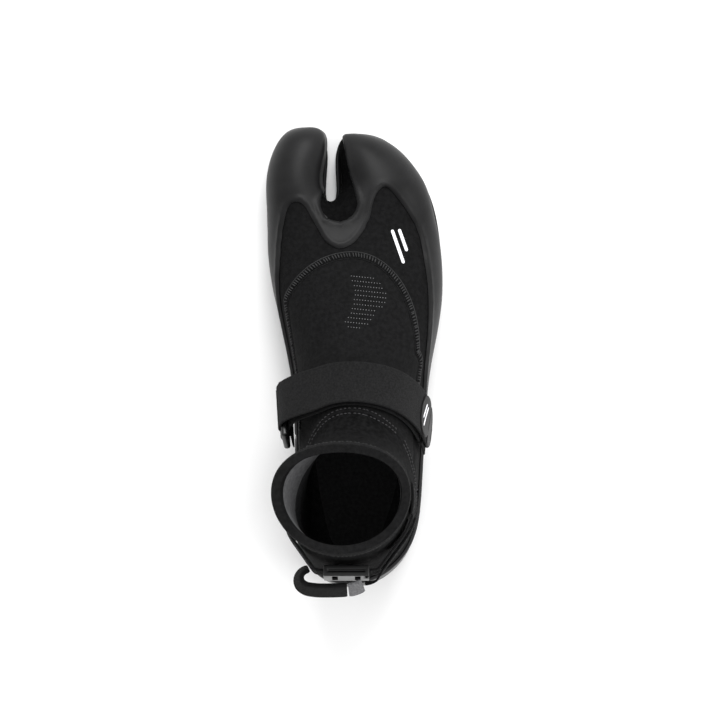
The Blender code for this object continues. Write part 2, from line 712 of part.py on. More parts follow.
def make_ring(tree, plastic, strap, where):
    centre, bar, outward, down = ring_frame(tree)
    down = (down - outward * RING_TILT).normalized()
    outward = (outward - outward.dot(down) * down).normalized()
    middle = centre + down * RING_SHORT
    long_half = RING_CLEAR / 2 + RING_WIRE
    tube_frame("strap_ring", middle, bar, down, long_half, RING_SHORT, RING_WIRE, plastic, where)
    low = centre + down * 2 * RING_SHORT
    loop = wrap_rows(low, bar, outward, -down, RING_WIRE + GAP, KEEPER_WIDTH, 0.0, 180.0, 7)
    inner = [(p + down * KEEPER_TAIL, n) for p, n in loop[0]]
    outer = [(p + down * KEEPER_TAIL - outward * KEEPER_CLOSE, n) for p, n in loop[-1]]
    band("ring_keeper", [inner] + loop + [outer], level(0.0), level(WEBBING), strap, where)


# ---------------------------------------------------------------- heel strap, slider and pull loop
HEEL_LIFT = 2.2  # how far the strap stands off the heel where the slider runs
HEEL_SLACK = 0.9
HEEL_ARC = (12, 170)  # the strap's ends, as angles round the heel from the little toe's side
FLAT_HALF = 16.0
PLATE = 2.6  # the slider's wall outside the strap
BACK_PLATE = 1.2
PASSAGE = 0.4  # clearance round the strap in the slider
SLIDE_EDGE = 1.0  # rounding of the slider's edges
SLOT_SHORT = 1.0  # the slots end this far inside the passage
CUT_THROUGH = 5.0  # how far a cutter reaches beyond what it cuts
HEEL_ANCHORS = (("heel_anchor_lateral", 10, -16), ("heel_anchor_medial", 171, 192))  # and their angles
HEEL_ANCHOR_HEIGHT = HEEL_BAND + 5.0
HEEL_ANCHOR = 1.5  # thickness

SLING_HEIGHT = 10.0
SLING_THICK = 1.4
SLING_GAP = 0.4  # from the heel strap's outer face
SLING_LEAVES = 17.5  # the sling follows the heel strap up to here, then its tail: across, beyond the strap
SLING_TAIL = ((16.6, 4.9), (14.2, 6.1), (10.6, 6.5))
SLING_LEANS = (0.1, 0.22, 0.3)

LOOP_HEIGHT = 15.0
LOOP_THICK = 2.4
LOOP_LEAN = 0.3
# The pull loop in the heel strap's plane, from its sewn end round to its loose end: across, back.
PULL_LOOP = (
    (-21.6, 37.4), (-25.4, 38.8), (-27.6, 42.4), (-26.8, 46.6), (-23.0, 49.2), (-16.0, 50.0), (-8.0, 50.0),
    (0.5, 49.6),
)
LOOP_TIP = ((1.3, 49.6), (4.0, 49.2), (7.0, 48.2), (9.4, 46.8))


def heel_path(tree):
    """The heel strap's line in its plane: round the heel, with a flat run behind for the slider."""
    centre, across, side, out = HEEL_PLANE
    points = []
    for angle in range(*HEEL_ARC, 6):
        reach = 0.0
        for shift in (-HEEL_BAND / 2, 0.0, HEEL_BAND / 2):
            hit, _ = surface_point(tree, HEEL_PLANE, angle, shift)
            reach = max(reach, (hit - centre - across * shift).length)
        a = math.radians(angle)
        points.append(Vector((math.cos(a), math.sin(a))) * (reach + HEEL_SLACK))
    back = max(p.y for p in points) + HEEL_LIFT
    points += [Vector((FLAT_HALF, back)), Vector((-FLAT_HALF, back))]
    order = convex_hull_2d(points)
    return sorted((points[i] for i in order), key=lambda p: math.atan2(p.y, p.x)), back


def plane_rows(path, height, leans):
    """Rows of a band along a line in the heel strap's plane. leans tilt each row's top outwards."""
    centre, across, side, out = HEEL_PLANE
    rows = []
    for i, (p, lean) in enumerate(zip(path, leans)):
        before, after = Vector(path[max(i - 1, 0)]), Vector(path[min(i + 1, len(path) - 1)])
        run = (after - before).normalized()
        normal = side * run.y - out * run.x
        place = centre + side * p[0] + out * p[1]
        upright = across + normal * lean
        rows.append([(place + upright * height * (k / 2 - 0.5), normal) for k in range(3)])
    return rows


def make_heel_strap(tree, strap, where):
    path, back = heel_path(tree)
    upright = [0.0] * len(path)
    band("heel_strap", plane_rows(path, HEEL_BAND, upright), level(0.0), level(HEEL_WEBBING), strap, where)
    for name, start, stop in HEEL_ANCHORS:
        rows = form_rows(tree, HEEL_PLANE, start, stop, 4, HEEL_ANCHOR_HEIGHT)
        band(name, rows, level(UNDER), level(UNDER + HEEL_ANCHOR), strap, where)
    return back


def make_sling(tree, strap, where):
    """The sling, sewn over the heel strap on the little toe's side; it stands clear of the slider."""
    path, back = heel_path(tree)
    along = [p for p in path if p.x > SLING_LEAVES]
    rows = plane_rows(along, SLING_HEIGHT, [0.0] * len(along))
    start = HEEL_WEBBING + SLING_GAP
    rows = [[(p + n * start, n) for p, n in row] for row in rows]
    tail = [(across, back + out) for across, out in SLING_TAIL]
    rows += plane_rows(tail, SLING_HEIGHT, SLING_LEANS)
    band("heel_sling", rows, level(0.0), level(SLING_THICK), strap, where)


def plane_block(name, low, high, finish, where, rounding=0.0):
    """A block with sides along the heel strap's plane axes: across, back and up, from low to high."""
    centre, across, side, out = HEEL_PLANE
    size = [b - a for a, b in zip(low, high)]
    middle = [(a + b) / 2 for a, b in zip(low, high)]
    turn = Matrix((side, out, across)).transposed().to_4x4()
    place = Matrix.Translation(centre) @ turn @ Matrix.Translation(middle) @ Matrix.Diagonal((*size, 1.0))
    bm = bmesh.new()
    bmesh.ops.create_cube(bm, size=1.0, matrix=place)
    bmesh.ops.recalc_face_normals(bm, faces=bm.faces)
    block = add_mesh(name, bm, finish, where)
    if rounding:
        bevel = block.modifiers.new("Bevel", "BEVEL")
        bevel.width = rounding * MM
        bevel.segments = 2
    return block


def make_slider(back, plastic, where, cutters):
    """The slider: a flat sleeve round the strap, with two slots through its outer plate."""
    half, tall = SLIDE_WIDTH / 2, SLIDE_HEIGHT / 2
    inside, outside = back - PASSAGE, back + HEEL_WEBBING + PASSAGE
    low = (-half, inside - BACK_PLATE, -tall)
    slider = plane_block("heel_slider", low, (half, outside + PLATE, tall), plastic, where, SLIDE_EDGE)
    reach = HEEL_BAND / 2 + PASSAGE
    near, far = (-half - CUT_THROUGH, inside, -reach), (half + CUT_THROUGH, outside, reach)
    cut(slider, hide(plane_block("slider_passage", near, far, plastic, cutters)), "DIFFERENCE")
    for i, side in enumerate((-1, 1)):
        middle = side * SLOT_PLACE
        slot_low = (middle - SLOT / 2, back + HEEL_WEBBING / 2, SLOT_SHORT - reach)
        slot_high = (middle + SLOT / 2, outside + PLATE + CUT_THROUGH, reach - SLOT_SHORT)
        slot = plane_block(f"slider_slot_{i}", slot_low, slot_high, plastic, cutters)
        cut(slider, hide(slot), "DIFFERENCE")
    return slider


def make_pull_loop(strap, grey, where):
    rows = plane_rows(PULL_LOOP, LOOP_HEIGHT, [LOOP_LEAN] * len(PULL_LOOP))
    loop = band("pull_loop", rows, level(-LOOP_THICK / 2), level(LOOP_THICK / 2), strap, where)
    tip = plane_rows(LOOP_TIP, LOOP_HEIGHT, [LOOP_LEAN] * len(LOOP_TIP))
    end = band("pull_loop_end", tip, level(-LOOP_THICK / 2), level(LOOP_THICK / 2), grey, where)
    return loop, end


# ---------------------------------------------------------------- joints
def set_pivot(obj, pivot, parent=None):
    """Puts an object's origin at its joint, in millimetres, and hangs it on its parent."""
    place = Vector(pivot) * MM
    obj.data.transform(Matrix.Translation(-place))
    obj.location = place
    if parent:
        obj.parent = parent
        obj.matrix_parent_inverse = Matrix.Translation(-parent.location)


def centre_boot(objects):
    """Hangs everything on one empty that stands so that the boot's box is centred on the origin."""
    base = bpy.data.objects.new("boot_centre", None)
    bpy.context.scene.collection.objects.link(base)
    base.location = (-PLAN_CENTRE[0] * MM, -PLAN_CENTRE[1] * MM, 0.0)
    for obj in objects:
        if obj.parent is None:
            obj.parent = base


def make_panels(form, finishes, where):
    neoprene, rubber, lining, grey = finishes

    def above_sole(p):
        return foxing_line(p) > 0

    def below_binding(p):
        return collar_line(p, BINDING) < 0

    def low_upper(p):
        return above_sole(p) and gusset_line(p) < 0 and ankle_line(p) < 0

    def covered(p):
        return above_sole(p) and gusset_line(p) < 0 and rubber_line(p) > 0

    shell("sole_sock", form, lambda p: not above_sole(p), -NEOPRENE, 0.0, neoprene, where, SOCK_INSET)
    panels = {
        "instep_panel": lambda p: low_upper(p) and arch_line(p) > 0,
        "vamp_panel": lambda p: low_upper(p) and arch_line(p) < 0 and heel_line(p) < 0,
        "heel_panel": lambda p: low_upper(p) and arch_line(p) < 0 and heel_line(p) > 0,
        "ankle_cuff": lambda p: ankle_line(p) > 0 and below_binding(p),
    }
    for name, wanted in panels.items():
        shell(name, form, wanted, -NEOPRENE, 0.0, neoprene, where)
    shell("split_gusset", form, lambda p: above_sole(p) and gusset_line(p) > 0,
          -GUSSET, 0.0, neoprene, where, GUSSET_INSET)
    inside = -NEOPRENE - LINING_GAP
    shell("collar_binding", form, lambda p: not below_binding(p),
          inside - LINING, BINDING_PROUD, neoprene, where)
    shell("collar_lining", form, lambda p: collar_line(p, LINING_LOW) > 0 and below_binding(p),
          inside - LINING, inside, grey, where)
    outside = RUBBER_GAP + RUBBER
    shell("rubber_rand", form, lambda p: covered(p) and rand_line(p) > 0,
          RUBBER_GAP, outside, rubber, where)
    shell("heel_counter", form, lambda p: covered(p) and rand_line(p) < 0,
          RUBBER_GAP, outside, rubber, where)


def make_lining(plain_form, lining, where):
    """The lining sock below the collar's lining, from the form without the outer panels' seams."""
    inside = -NEOPRENE - LINING_GAP
    rim = {v for v in plain_form.verts if v.is_boundary}
    score(plain_form, lambda p: collar_line(p, LINING_LOW), rim)
    keep_normals(plain_form)
    shell("foot_lining", plain_form, lambda p: collar_line(p, LINING_LOW) < 0,
          inside - LINING, inside, lining, where)


def main():
    clear_scene()
    boot = collection("neoprene_boot")
    cutters = collection("cutters")
    neoprene = material("neoprene", (0.018, 0.018, 0.020), 0.9)
    rubber = material("rubber", (0.035, 0.035, 0.037), 0.55)
    lining = material("lining", (0.012, 0.012, 0.013), 0.95)
    grey = material("grey_jersey", (0.09, 0.09, 0.095), 0.95)
    foam = material("foam", (0.02, 0.02, 0.022), 0.95)
    strap = material("webbing", (0.028, 0.028, 0.03), 0.9)
    plastic = material("plastic", (0.01, 0.01, 0.01), 0.3)
    hooks = material("hook_and_loop", (0.015, 0.015, 0.015), 0.9)

    form = make_form()
    plain_form = form.copy()
    mark_seams(form)
    tree = BVHTree.FromBMesh(form)
    make_outsole(form, rubber, boot, cutters)
    keep_normals(plain_form)
    make_insole(plain_form, foam, boot)
    make_panels(form, (neoprene, rubber, lining, grey), boot)
    make_lining(plain_form, lining, boot)
    over, hook, tab, peel, lift = make_strap(tree, (strap, plastic, hooks), boot)
    make_ring(tree, plastic, strap, boot)
    back = make_heel_strap(tree, strap, boot)
    make_sling(tree, strap, boot)
    slider = make_slider(back, plastic, boot, cutters)
    loop, loop_end = make_pull_loop(strap, grey, boot)
    form.free()
    plain_form.free()

    centre, across, side, out = HEEL_PLANE
    set_pivot(over, peel)
    set_pivot(hook, peel, over)
    set_pivot(tab, lift, over)
    set_pivot(slider, centre + out * back)
    sewn_end = centre + side * PULL_LOOP[0][0] + out * PULL_LOOP[0][1]
    set_pivot(loop, sewn_end)
    set_pivot(loop_end, sewn_end, loop)
    centre_boot(list(boot.objects) + list(cutters.objects))
    bpy.context.scene.unit_settings.system = "METRIC"
    bpy.context.scene.unit_settings.scale_length = 1.0


main()
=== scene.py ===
# %% [markdown]
# # A split-toe neoprene boot
# This file is a lesson in cells. It dresses a packed, working model of a reef boot: a low neoprene
# sock with a rubber toe cap, heel counter and sole, a strap over the instep and a slider at the heel.
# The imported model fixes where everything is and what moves. Each cell here makes one real piece.

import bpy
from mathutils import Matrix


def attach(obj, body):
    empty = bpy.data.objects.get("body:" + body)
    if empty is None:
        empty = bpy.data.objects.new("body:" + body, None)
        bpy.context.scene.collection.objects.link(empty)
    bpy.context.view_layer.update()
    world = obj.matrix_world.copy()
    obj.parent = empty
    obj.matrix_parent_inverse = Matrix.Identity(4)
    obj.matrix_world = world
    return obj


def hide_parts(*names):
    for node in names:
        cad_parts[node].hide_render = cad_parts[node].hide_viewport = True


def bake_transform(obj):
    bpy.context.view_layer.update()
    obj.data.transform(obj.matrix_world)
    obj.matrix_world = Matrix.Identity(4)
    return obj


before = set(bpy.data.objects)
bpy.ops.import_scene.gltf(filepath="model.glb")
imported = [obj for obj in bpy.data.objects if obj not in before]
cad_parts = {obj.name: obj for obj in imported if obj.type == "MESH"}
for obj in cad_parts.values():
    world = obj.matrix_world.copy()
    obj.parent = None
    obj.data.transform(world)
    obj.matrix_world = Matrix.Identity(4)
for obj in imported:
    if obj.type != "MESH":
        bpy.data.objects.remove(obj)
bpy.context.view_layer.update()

# %% Blender's own modules
import math

import bmesh
import bpy
from mathutils import Matrix, Vector, noise
from mathutils.bvhtree import BVHTree
from mathutils.geometry import convex_hull_2d
from mathutils.kdtree import KDTree

MM = 0.001

# %% [markdown]
# ## Where the work is done
# The foot is easiest to draw in millimetres, from a point under the instep where the split between
# the toes lies near x = -19. A finished piece is scaled to metres and moved into the frame. The
# frame's box is centred on the origin, so the move is the same for every piece.

# %% A place for finished pieces
FOOT_ORIGIN = Vector((4.173, -3.704, 0.0))
TO_FRAME = Matrix.Scale(MM, 4) @ Matrix.Translation(FOOT_ORIGIN)


def deselect():
    if bpy.context.object and bpy.context.object.mode != "OBJECT":
        bpy.ops.object.mode_set(mode="OBJECT")
    bpy.ops.object.select_all(action="DESELECT")


def apply_modifier(obj, kind, **settings):
    """Adds a modifier with these settings and applies it."""
    deselect()
    bpy.context.view_layer.objects.active = obj
    obj.select_set(True)
    modifier = obj.modifiers.new(kind.title(), kind)
    for key, value in settings.items():
        setattr(modifier, key, value)
    bpy.ops.object.modifier_apply(modifier=modifier.name)


def dress(obj, finish, body, replaces=(), angle=38.0):
    """Gives a finished piece its material, smooth shading and body, and hides the parts that it replaces.
    """
    obj.data.materials.clear()
    obj.data.materials.append(finish)
    obj.data.shade_smooth()
    obj.data.set_sharp_from_angle(angle=math.radians(angle))
    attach(obj, body)
    if replaces:
        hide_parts(*replaces)
    print(f"{obj.name}: {len(obj.data.polygons)} faces on {body}")
    return obj


def from_bmesh(name, bm):
    """An object in the frame from a bmesh drawn in the foot's millimetres, its faces turned outwards."""
    bmesh.ops.recalc_face_normals(bm, faces=bm.faces)
    bmesh.ops.transform(bm, matrix=TO_FRAME, verts=bm.verts)
    mesh = bpy.data.meshes.new(name)
    bm.to_mesh(mesh)
    bm.free()
    obj = bpy.data.objects.new(name, mesh)
    bpy.context.scene.collection.objects.link(obj)
    return obj


# %% [markdown]
# ## The foot's form
# A boot is sewn from panels, but together they make one smooth shape. It is drawn as a coarse cage
# of rings, from the toes over the instep and heel up to the collar, and Subdivision Surface smooths
# it. Two short tunnels of rings make the toes. They share one column of points, down the back wall
# of the split. This could be sculpted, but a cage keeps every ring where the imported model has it.

# %% The cage's numbers
FLOOR = 5.6
FOOT_HALF = ((0.0, 1.0), (0.52, 0.93), (0.88, 0.66), (1.0, 0.33), (0.965, 0.06), (0.55, 0.0), (0.0, 0.0))
SHAFT_HALF = ((0.0, 1.0), (0.55, 0.95), (0.92, 0.77), (1.0, 0.51), (0.84, 0.25), (0.47, 0.06), (0.0, 0.0))
# front y and z, back y and z, medial x, lateral x, middle x, share of the shaft's shape
SECTIONS = (
    (85.0, 39.5, 86.0, FLOOR, -56.5, 45.5, -19.0, 0.0),
    (67.0, 46.0, 67.0, FLOOR, -57.0, 49.5, -15.0, 0.0),
    (46.0, 52.5, 43.0, FLOOR, -54.0, 50.0, -11.0, 0.0),
    (26.0, 61.0, 18.0, FLOOR, -47.5, 47.0, -9.0, 0.0),
    (8.0, 71.0, -10.0, FLOOR, -41.5, 41.3, -8.0, 0.0),
    (-9.0, 81.0, -40.0, FLOOR, -39.0, 39.0, -7.0, 0.05),
    (-22.0, 90.0, -72.0, FLOOR, -39.0, 37.4, -6.5, 0.15),
    (-31.0, 99.0, -106.0, FLOOR, -38.5, 36.0, -6.0, 0.35),
    (-36.5, 108.0, -131.0, 8.5, -38.5, 34.5, -6.0, 0.6),
    (-39.5, 117.0, -139.5, 30.0, -40.0, 32.5, -6.0, 0.85),
    (-41.5, 126.0, -130.0, 69.0, -43.0, 29.5, -7.5, 1.0),
    (-43.0, 134.5, -115.5, 106.0, -46.5, 28.0, -9.0, 1.0),
    (-44.0, 143.4, -109.0, 138.2, -49.5, 28.0, -10.5, 1.0),
    (-44.3, 152.4, -107.5, 147.4, -51.0, 28.5, -11.0, 1.0),
)
SPLIT_X = -19.0
SPLIT_COLUMN = ((95.0, 9.0), (94.5, 19.0), (91.5, 30.0))
SPLIT_SOLE_Y = 91.0
TOE_SECTION = ((0.0, 0.82), (0.40, 1.0), (0.80, 0.86), (1.0, 0.44), (0.95, 0.06), (0.5, 0.0), (0.05, 0.0))
TOE_WALL = ((0.14, 0.0), (0.40, 0.25), (0.64, 0.65))
# y, x of the wall, outer x, how far the shoulder stands back, top z
BIG_TOE = (
    (105.0, -25.5, -58.0, 2.5, 38.0),
    (117.0, -25.0, -57.0, 2.0, 35.5),
    (128.0, -23.0, -54.0, 1.5, 32.5),
    (137.5, -22.3, -49.0, 1.0, 28.0),
    (142.5, -25.5, -42.0, 0.5, 20.0),
)
SMALL_TOES = (
    (105.0, -12.5, 41.5, 10.5, 39.5),
    (115.0, -12.8, 35.5, 8.5, 37.0),
    (124.5, -13.8, 28.5, 7.0, 33.5),
    (132.5, -14.5, 19.5, 5.0, 28.5),
    (138.5, -13.0, 7.0, 3.0, 20.5),
)


# %% Rings of the cage
def section_ring(section):
    front_y, front_z, back_y, back_z, medial, lateral, middle, shaft = section
    pairs = zip(FOOT_HALF, SHAFT_HALF)
    half = [tuple(a + (b - a) * shaft for a, b in zip(foot, leg)) for foot, leg in pairs]

    def point(across, up, side):
        x = middle + across * (side - middle)
        return Vector((x, back_y + up * (front_y - back_y), back_z + up * (front_z - back_z)))

    down = [point(*half[i], lateral) for i in range(7)]
    rise = [point(*half[i], medial) for i in range(5, 0, -1)]
    return down + rise


def toe_ring(toe):
    y, wall, outer, back_off, top = toe
    away = math.copysign(back_off, outer - wall)
    ring = []
    for i, (across, up) in enumerate(TOE_SECTION):
        x = wall + across * (outer - wall) + (away if i == 0 else 0.0)
        ring.append(Vector((x, y, FLOOR + up * (top - FLOOR))))
    for up, share in TOE_WALL:
        ring.append(Vector((wall + away * share, y, FLOOR + up * (top - FLOOR))))
    return ring


def bridge(bm, first, second):
    for i, vert in enumerate(first):
        after = (i + 1) % len(first)
        bm.faces.new((vert, first[after], second[after], second[i]))


# %% The smooth form
FORM_LEVELS = 3


def make_cage():
    bm = bmesh.new()
    rings = [[bm.verts.new(p) for p in section_ring(s)] for s in SECTIONS]
    rings[0][6].co.y = SPLIT_SOLE_Y
    for first, second in zip(rings, rings[1:]):
        bridge(bm, first, second)
    column = [bm.verts.new((SPLIT_X, y, z)) for y, z in SPLIT_COLUMN]
    root = rings[0]
    starts = ((SMALL_TOES, root[0:7] + column), (BIG_TOE, [root[0]] + root[11:5:-1] + column))
    for toes, previous in starts:
        for toe in toes:
            ring = [bm.verts.new(p) for p in toe_ring(toe)]
            bridge(bm, previous, ring)
            previous = ring
        for a, b, c, d in ((0, 1, 2, 9), (9, 2, 3, 8), (8, 3, 4, 7), (7, 4, 5, 6)):
            bm.faces.new((previous[a], previous[b], previous[c], previous[d]))
    bmesh.ops.recalc_face_normals(bm, faces=bm.faces)
    return bm


def smooth_form(levels):
    """The cage subdivided, as a bmesh in the foot's millimetres with its faces turned outwards."""
    cage = make_cage()
    mesh = bpy.data.meshes.new("form")
    cage.to_mesh(mesh)
    cage.free()
    obj = bpy.data.objects.new("form", mesh)
    bpy.context.scene.collection.objects.link(obj)
    apply_modifier(obj, "SUBSURF", levels=levels, render_levels=levels)
    smoothed = bmesh.new()
    smoothed.from_mesh(obj.data)
    bpy.data.objects.remove(obj)
    smoothed.normal_update()
    heel = min(smoothed.verts, key=lambda v: v.co.y)
    if heel.normal.y > 0:
        bmesh.ops.reverse_faces(smoothed, faces=smoothed.faces)
        smoothed.normal_update()
    return smoothed


form = smooth_form(FORM_LEVELS)
print("the form has", len(form.faces), "faces")

# %% [markdown]
# ## Creases of use
# Soft foam never lies perfectly smooth. A few shallow folds cross the instep and the shaft, drawn as
# plan lines with a depth and a width, and a slow noise makes the surface uneven by a few tenths of a
# millimetre. Cloth simulation could fold it, but the panels would then no longer meet.

# %% Fold the form a little
# depth, width, then points (x, y, z) that the fold runs through
FOLDS = (
    (0.9, 2.6, ((-18.5, 48.0, 50.0), (-23.0, 30.0, 57.0), (-24.5, 19.0, 61.0), (-28.0, 2.0, 66.0))),
    (0.6, 2.6, ((-36.0, 14.0, 56.0), (-36.5, -4.0, 58.0))),
    (0.9, 3.2, ((-36.0, -34.0, 84.0), (-20.0, -30.0, 98.0), (0.0, -30.5, 98.0), (20.0, -36.0, 86.0))),
    (0.8, 3.5, ((-38.0, -44.0, 92.0), (-24.0, -37.0, 108.0), (-4.0, -35.5, 110.0), (14.0, -40.0, 104.0))),
    (1.0, 4.0, ((30.0, -60.0, 96.0), (31.0, -84.0, 86.0), (26.0, -104.0, 84.0))),
    (1.0, 4.0, ((-44.0, -62.0, 98.0), (-43.0, -84.0, 88.0), (-34.0, -108.0, 84.0))),
    (0.7, 3.0, ((32.0, -60.0, 120.0), (27.0, -88.0, 114.0), (14.0, -106.0, 112.0))),
)
UNEVEN = 0.35
UNEVEN_SIZE = 26.0


def to_segment(p, a, b):
    along = b - a
    t = max(0.0, min(1.0, (p - a).dot(along) / along.length_squared))
    return (p - a - along * t).length


def fold_depth(p):
    total = 0.0
    for depth, width, line in FOLDS:
        points = [Vector(q) for q in line]
        near = min(to_segment(p, a, b) for a, b in zip(points, points[1:]))
        total += depth * math.exp(-(near / width) ** 2)
    return total


for vert in form.verts:
    if vert.is_boundary:
        continue
    swell = UNEVEN * noise.noise(vert.co / UNEVEN_SIZE)
    vert.co += vert.normal * (swell - fold_depth(vert.co))
form.normal_update()
skin = BVHTree.FromBMesh(form)
print("folds:", len(FOLDS))

# %% [markdown]
# ## Seam lines
# Each seam is where a simple rule changes sign: a height, an ellipse, or a curve through a few
# points. Cutting the form's faces along each rule's zero line gives clean edges at any fineness. A
# knife cut by hand would do the same, but a rule can be read and changed.

# %% Rules for the seams
ARCH_CENTRE = (-5.0, 5.0)
ARCH_MEDIAL = 48.0
ARCH_LATERAL = 38.0
ARCH_FORWARD = 57.5
ARCH_SPREAD = 0.6
ARCH_LOW_MEDIAL = 38.0
ARCH_LOW_LATERAL = 45.0
ARCH_RISE = 0.35
ANKLE_FRONT = (-27.0, 94.0)
ANKLE_SLOPE = 0.65
HEEL_SEAM_Y = -78.0
COLLAR_TOP = (-76.0, 149.7, 0.075)
BINDING = 9.0
LINING_LOW = 45.0
RAND_END_Y, RAND_END_Z, RAND_SLOPE = -46.0, 30.0, 0.4
FOXING_Z = 8.0
MEDIAL_TOP = (
    (-150.0, 62.0), (-115.0, 60.0), (-85.0, 44.0), (-45.0, 31.0), (0.0, 27.0), (26.0, 28.0), (50.0, 33.0),
    (66.0, 32.0), (80.0, 29.0), (100.0, 25.0),
)
LATERAL_TOP = (
    (-150.0, 62.0), (-115.0, 60.0), (-85.0, 50.0), (-45.0, 41.0), (-5.0, 39.0), (26.0, 38.0),
    (46.0, 36.0), (66.0, 33.0), (80.0, 30.0), (100.0, 26.0),
)
CAP_EDGE = (
    (-60.0, 20.0), (-50.0, 48.0), (-47.5, 76.0), (-44.5, 92.0), (-39.2, 96.6), (-34.0, 93.6),
    (-29.2, 85.3), (-22.0, 73.0), (-17.5, 69.0), (-12.4, 67.6), (-5.3, 70.6), (0.0, 76.8),
    (4.2, 84.5), (8.0, 98.2), (10.8, 103.6), (14.8, 105.5), (20.4, 100.8), (31.2, 85.2),
    (37.3, 69.5), (41.0, 56.0), (60.0, 20.0),
)
GUSSET_BACK = 84.5
GUSSET_HALF = 11.3
GUSSET_MIDDLE = -13.6
GUSSET_RUN = 41.0
GUSSET_CLOSE = 6.8
GUSSET_DRIFT = 2.0
FAR_AWAY = 60.0
LEAST_SLOPE = 0.3


def smooth_line(points, x):
    """The second value at x on a smooth curve through points sorted by the first."""
    i = max(0, min(len(points) - 2, sum(p[0] <= x for p in points) - 1))
    (x0, y0), (x1, y1) = points[i], points[i + 1]

    def slope(k):
        a, b = points[max(k - 1, 0)], points[min(k + 1, len(points) - 1)]
        return (b[1] - a[1]) / (b[0] - a[0])

    run = x1 - x0
    t = max(0.0, min(1.0, (x - x0) / run))
    rising = t * (1 - t) ** 2 * run * slope(i)
    falling = t * t * (t - 1) * run * slope(i + 1)
    return (1 + 2 * t) * (1 - t) ** 2 * y0 + rising + t * t * (3 - 2 * t) * y1 + falling


def ankle_line(p):
    return p.z - (ANKLE_FRONT[1] + ANKLE_SLOPE * (p.y - ANKLE_FRONT[0]))


def arch_line(p):
    medial = p.x < ARCH_CENTRE[0]
    radius = ARCH_MEDIAL if medial else ARCH_LATERAL
    low = ARCH_LOW_MEDIAL if medial else ARCH_LOW_LATERAL
    across = (p.x - ARCH_CENTRE[0]) / radius
    behind = ARCH_CENTRE[1] - p.y
    along = max(0.0, -behind) / ARCH_FORWARD
    inside = (1.0 - math.hypot(across, along)) * radius + ARCH_SPREAD * max(0.0, behind)
    return min(inside, p.z - low - ARCH_RISE * max(0.0, -p.y))


def heel_line(p):
    return HEEL_SEAM_Y - p.y


def collar_line(p, below):
    return p.z - (COLLAR_TOP[1] + COLLAR_TOP[2] * (p.y - COLLAR_TOP[0])) + below


def rubber_line(p):
    tops = MEDIAL_TOP if p.x < ARCH_CENTRE[0] else LATERAL_TOP
    return max(smooth_line(tops, p.y) - p.z, p.y - smooth_line(CAP_EDGE, p.x))


def foxing_line(p):
    return p.z - FOXING_Z


def rand_line(p):
    return p.y - RAND_END_Y + RAND_SLOPE * (p.z - RAND_END_Z)


def gusset_line(p):
    ahead = p.y - GUSSET_BACK
    if ahead <= 0:
        return ahead - abs(p.x - GUSSET_MIDDLE)
    on = max(0.0, ahead - GUSSET_HALF) / GUSSET_RUN
    round_end = min(1.0, ahead / GUSSET_HALF)
    half = GUSSET_HALF * math.sqrt(1 - (1 - round_end) ** 2) - GUSSET_CLOSE * on
    return half - abs(p.x - GUSSET_MIDDLE + GUSSET_DRIFT * on)


def true_distance(rule, step=0.4):
    """The rule divided by its slope, which is close to a distance in millimetres near the line."""
    steps = [Vector((step, 0, 0)), Vector((0, step, 0)), Vector((0, 0, step))]

    def measured(p):
        value = rule(p)
        if abs(value) > FAR_AWAY:
            return value
        slope = math.sqrt(sum(((rule(p + s) - rule(p - s)) / (2 * step)) ** 2 for s in steps))
        return value / max(slope, LEAST_SLOPE)

    return measured


# %% Cut the form along a rule
SNAP = 0.12


def score(sheet, rule, held):
    """Cuts faces along the line where rule is zero. held are vertices that earlier lines fixed."""
    value = {v: rule(v.co) for v in sheet.verts}
    for edge in list(sheet.edges):
        a, b = edge.verts
        if value[a] * value[b] >= 0:
            continue
        share = value[a] / (value[a] - value[b])
        place = a.co.lerp(b.co, share)
        near = a if share < 0.5 else b
        if min(share, 1 - share) < SNAP and near not in held:
            near.co = place
            value[near] = 0.0
            held.add(near)
        elif min(share, 1 - share) < SNAP / 2:
            value[near] = 0.0
        else:
            _, made = bmesh.utils.edge_split(edge, a, share)
            made.co = place
            value[made] = 0.0
            held.add(made)
    for face in list(sheet.faces):
        signs = [value[v] for v in face.verts]
        zeros = [v for v in face.verts if value[v] == 0.0]
        if min(signs) < 0 < max(signs) and len(zeros) >= 2:
            first, last = zeros[0], zeros[-1]
            if len(zeros) == 2 or not sheet.edges.get((first, last)):
                bmesh.utils.face_split(face, first, last)


held = {v for v in form.verts if v.is_boundary}
rubber_edge = true_distance(rubber_line)
gusset_edge = true_distance(gusset_line)
for rule in (gusset_edge, arch_line, rubber_edge, ankle_line, foxing_line, heel_line, rand_line):
    score(form, rule, held)
for depth in (BINDING, LINING_LOW):
    score(form, lambda p: collar_line(p, depth), held)
LIP_CUTS = (0.7, 1.6, 2.8, 4.2)
for inset in LIP_CUTS:
    score(form, lambda p: rubber_edge(p) - inset, held)
    score(form, lambda p: -gusset_edge(p) - inset, held)
form.normal_update()
kept_normal = form.verts.layers.float_vector.new("kept_normal")
for vert in form.verts:
    vert[kept_normal] = vert.normal
print("the scored form has", len(form.faces), "faces")

# %% [markdown]
# ## Finishes
# Black boots show their materials only through their surface: matt knitted jersey, satin rubber,
# brushed webbing and glossy plastic. Each finish mixes two close tones with a noise and raises a fine
# relief at its real scale. Patterns read object coordinates in metres, or a band's own UV map.


# %% Small helpers for shader nodes
def new_finish(name, roughness, gloss):
    made = bpy.data.materials.new(name)
    made.use_nodes = True
    shader = made.node_tree.nodes["Principled BSDF"]
    shader.inputs["Roughness"].default_value = roughness
    shader.inputs["Specular IOR Level"].default_value = gloss
    return made, shader


def add_node(finish, kind, **values):
    node = finish.node_tree.nodes.new(kind)
    for key, value in values.items():
        if key in node.inputs:
            node.inputs[key].default_value = value
        else:
            setattr(node, key, value)
    return node


def link(finish, source, target):
    finish.node_tree.links.new(source, target)


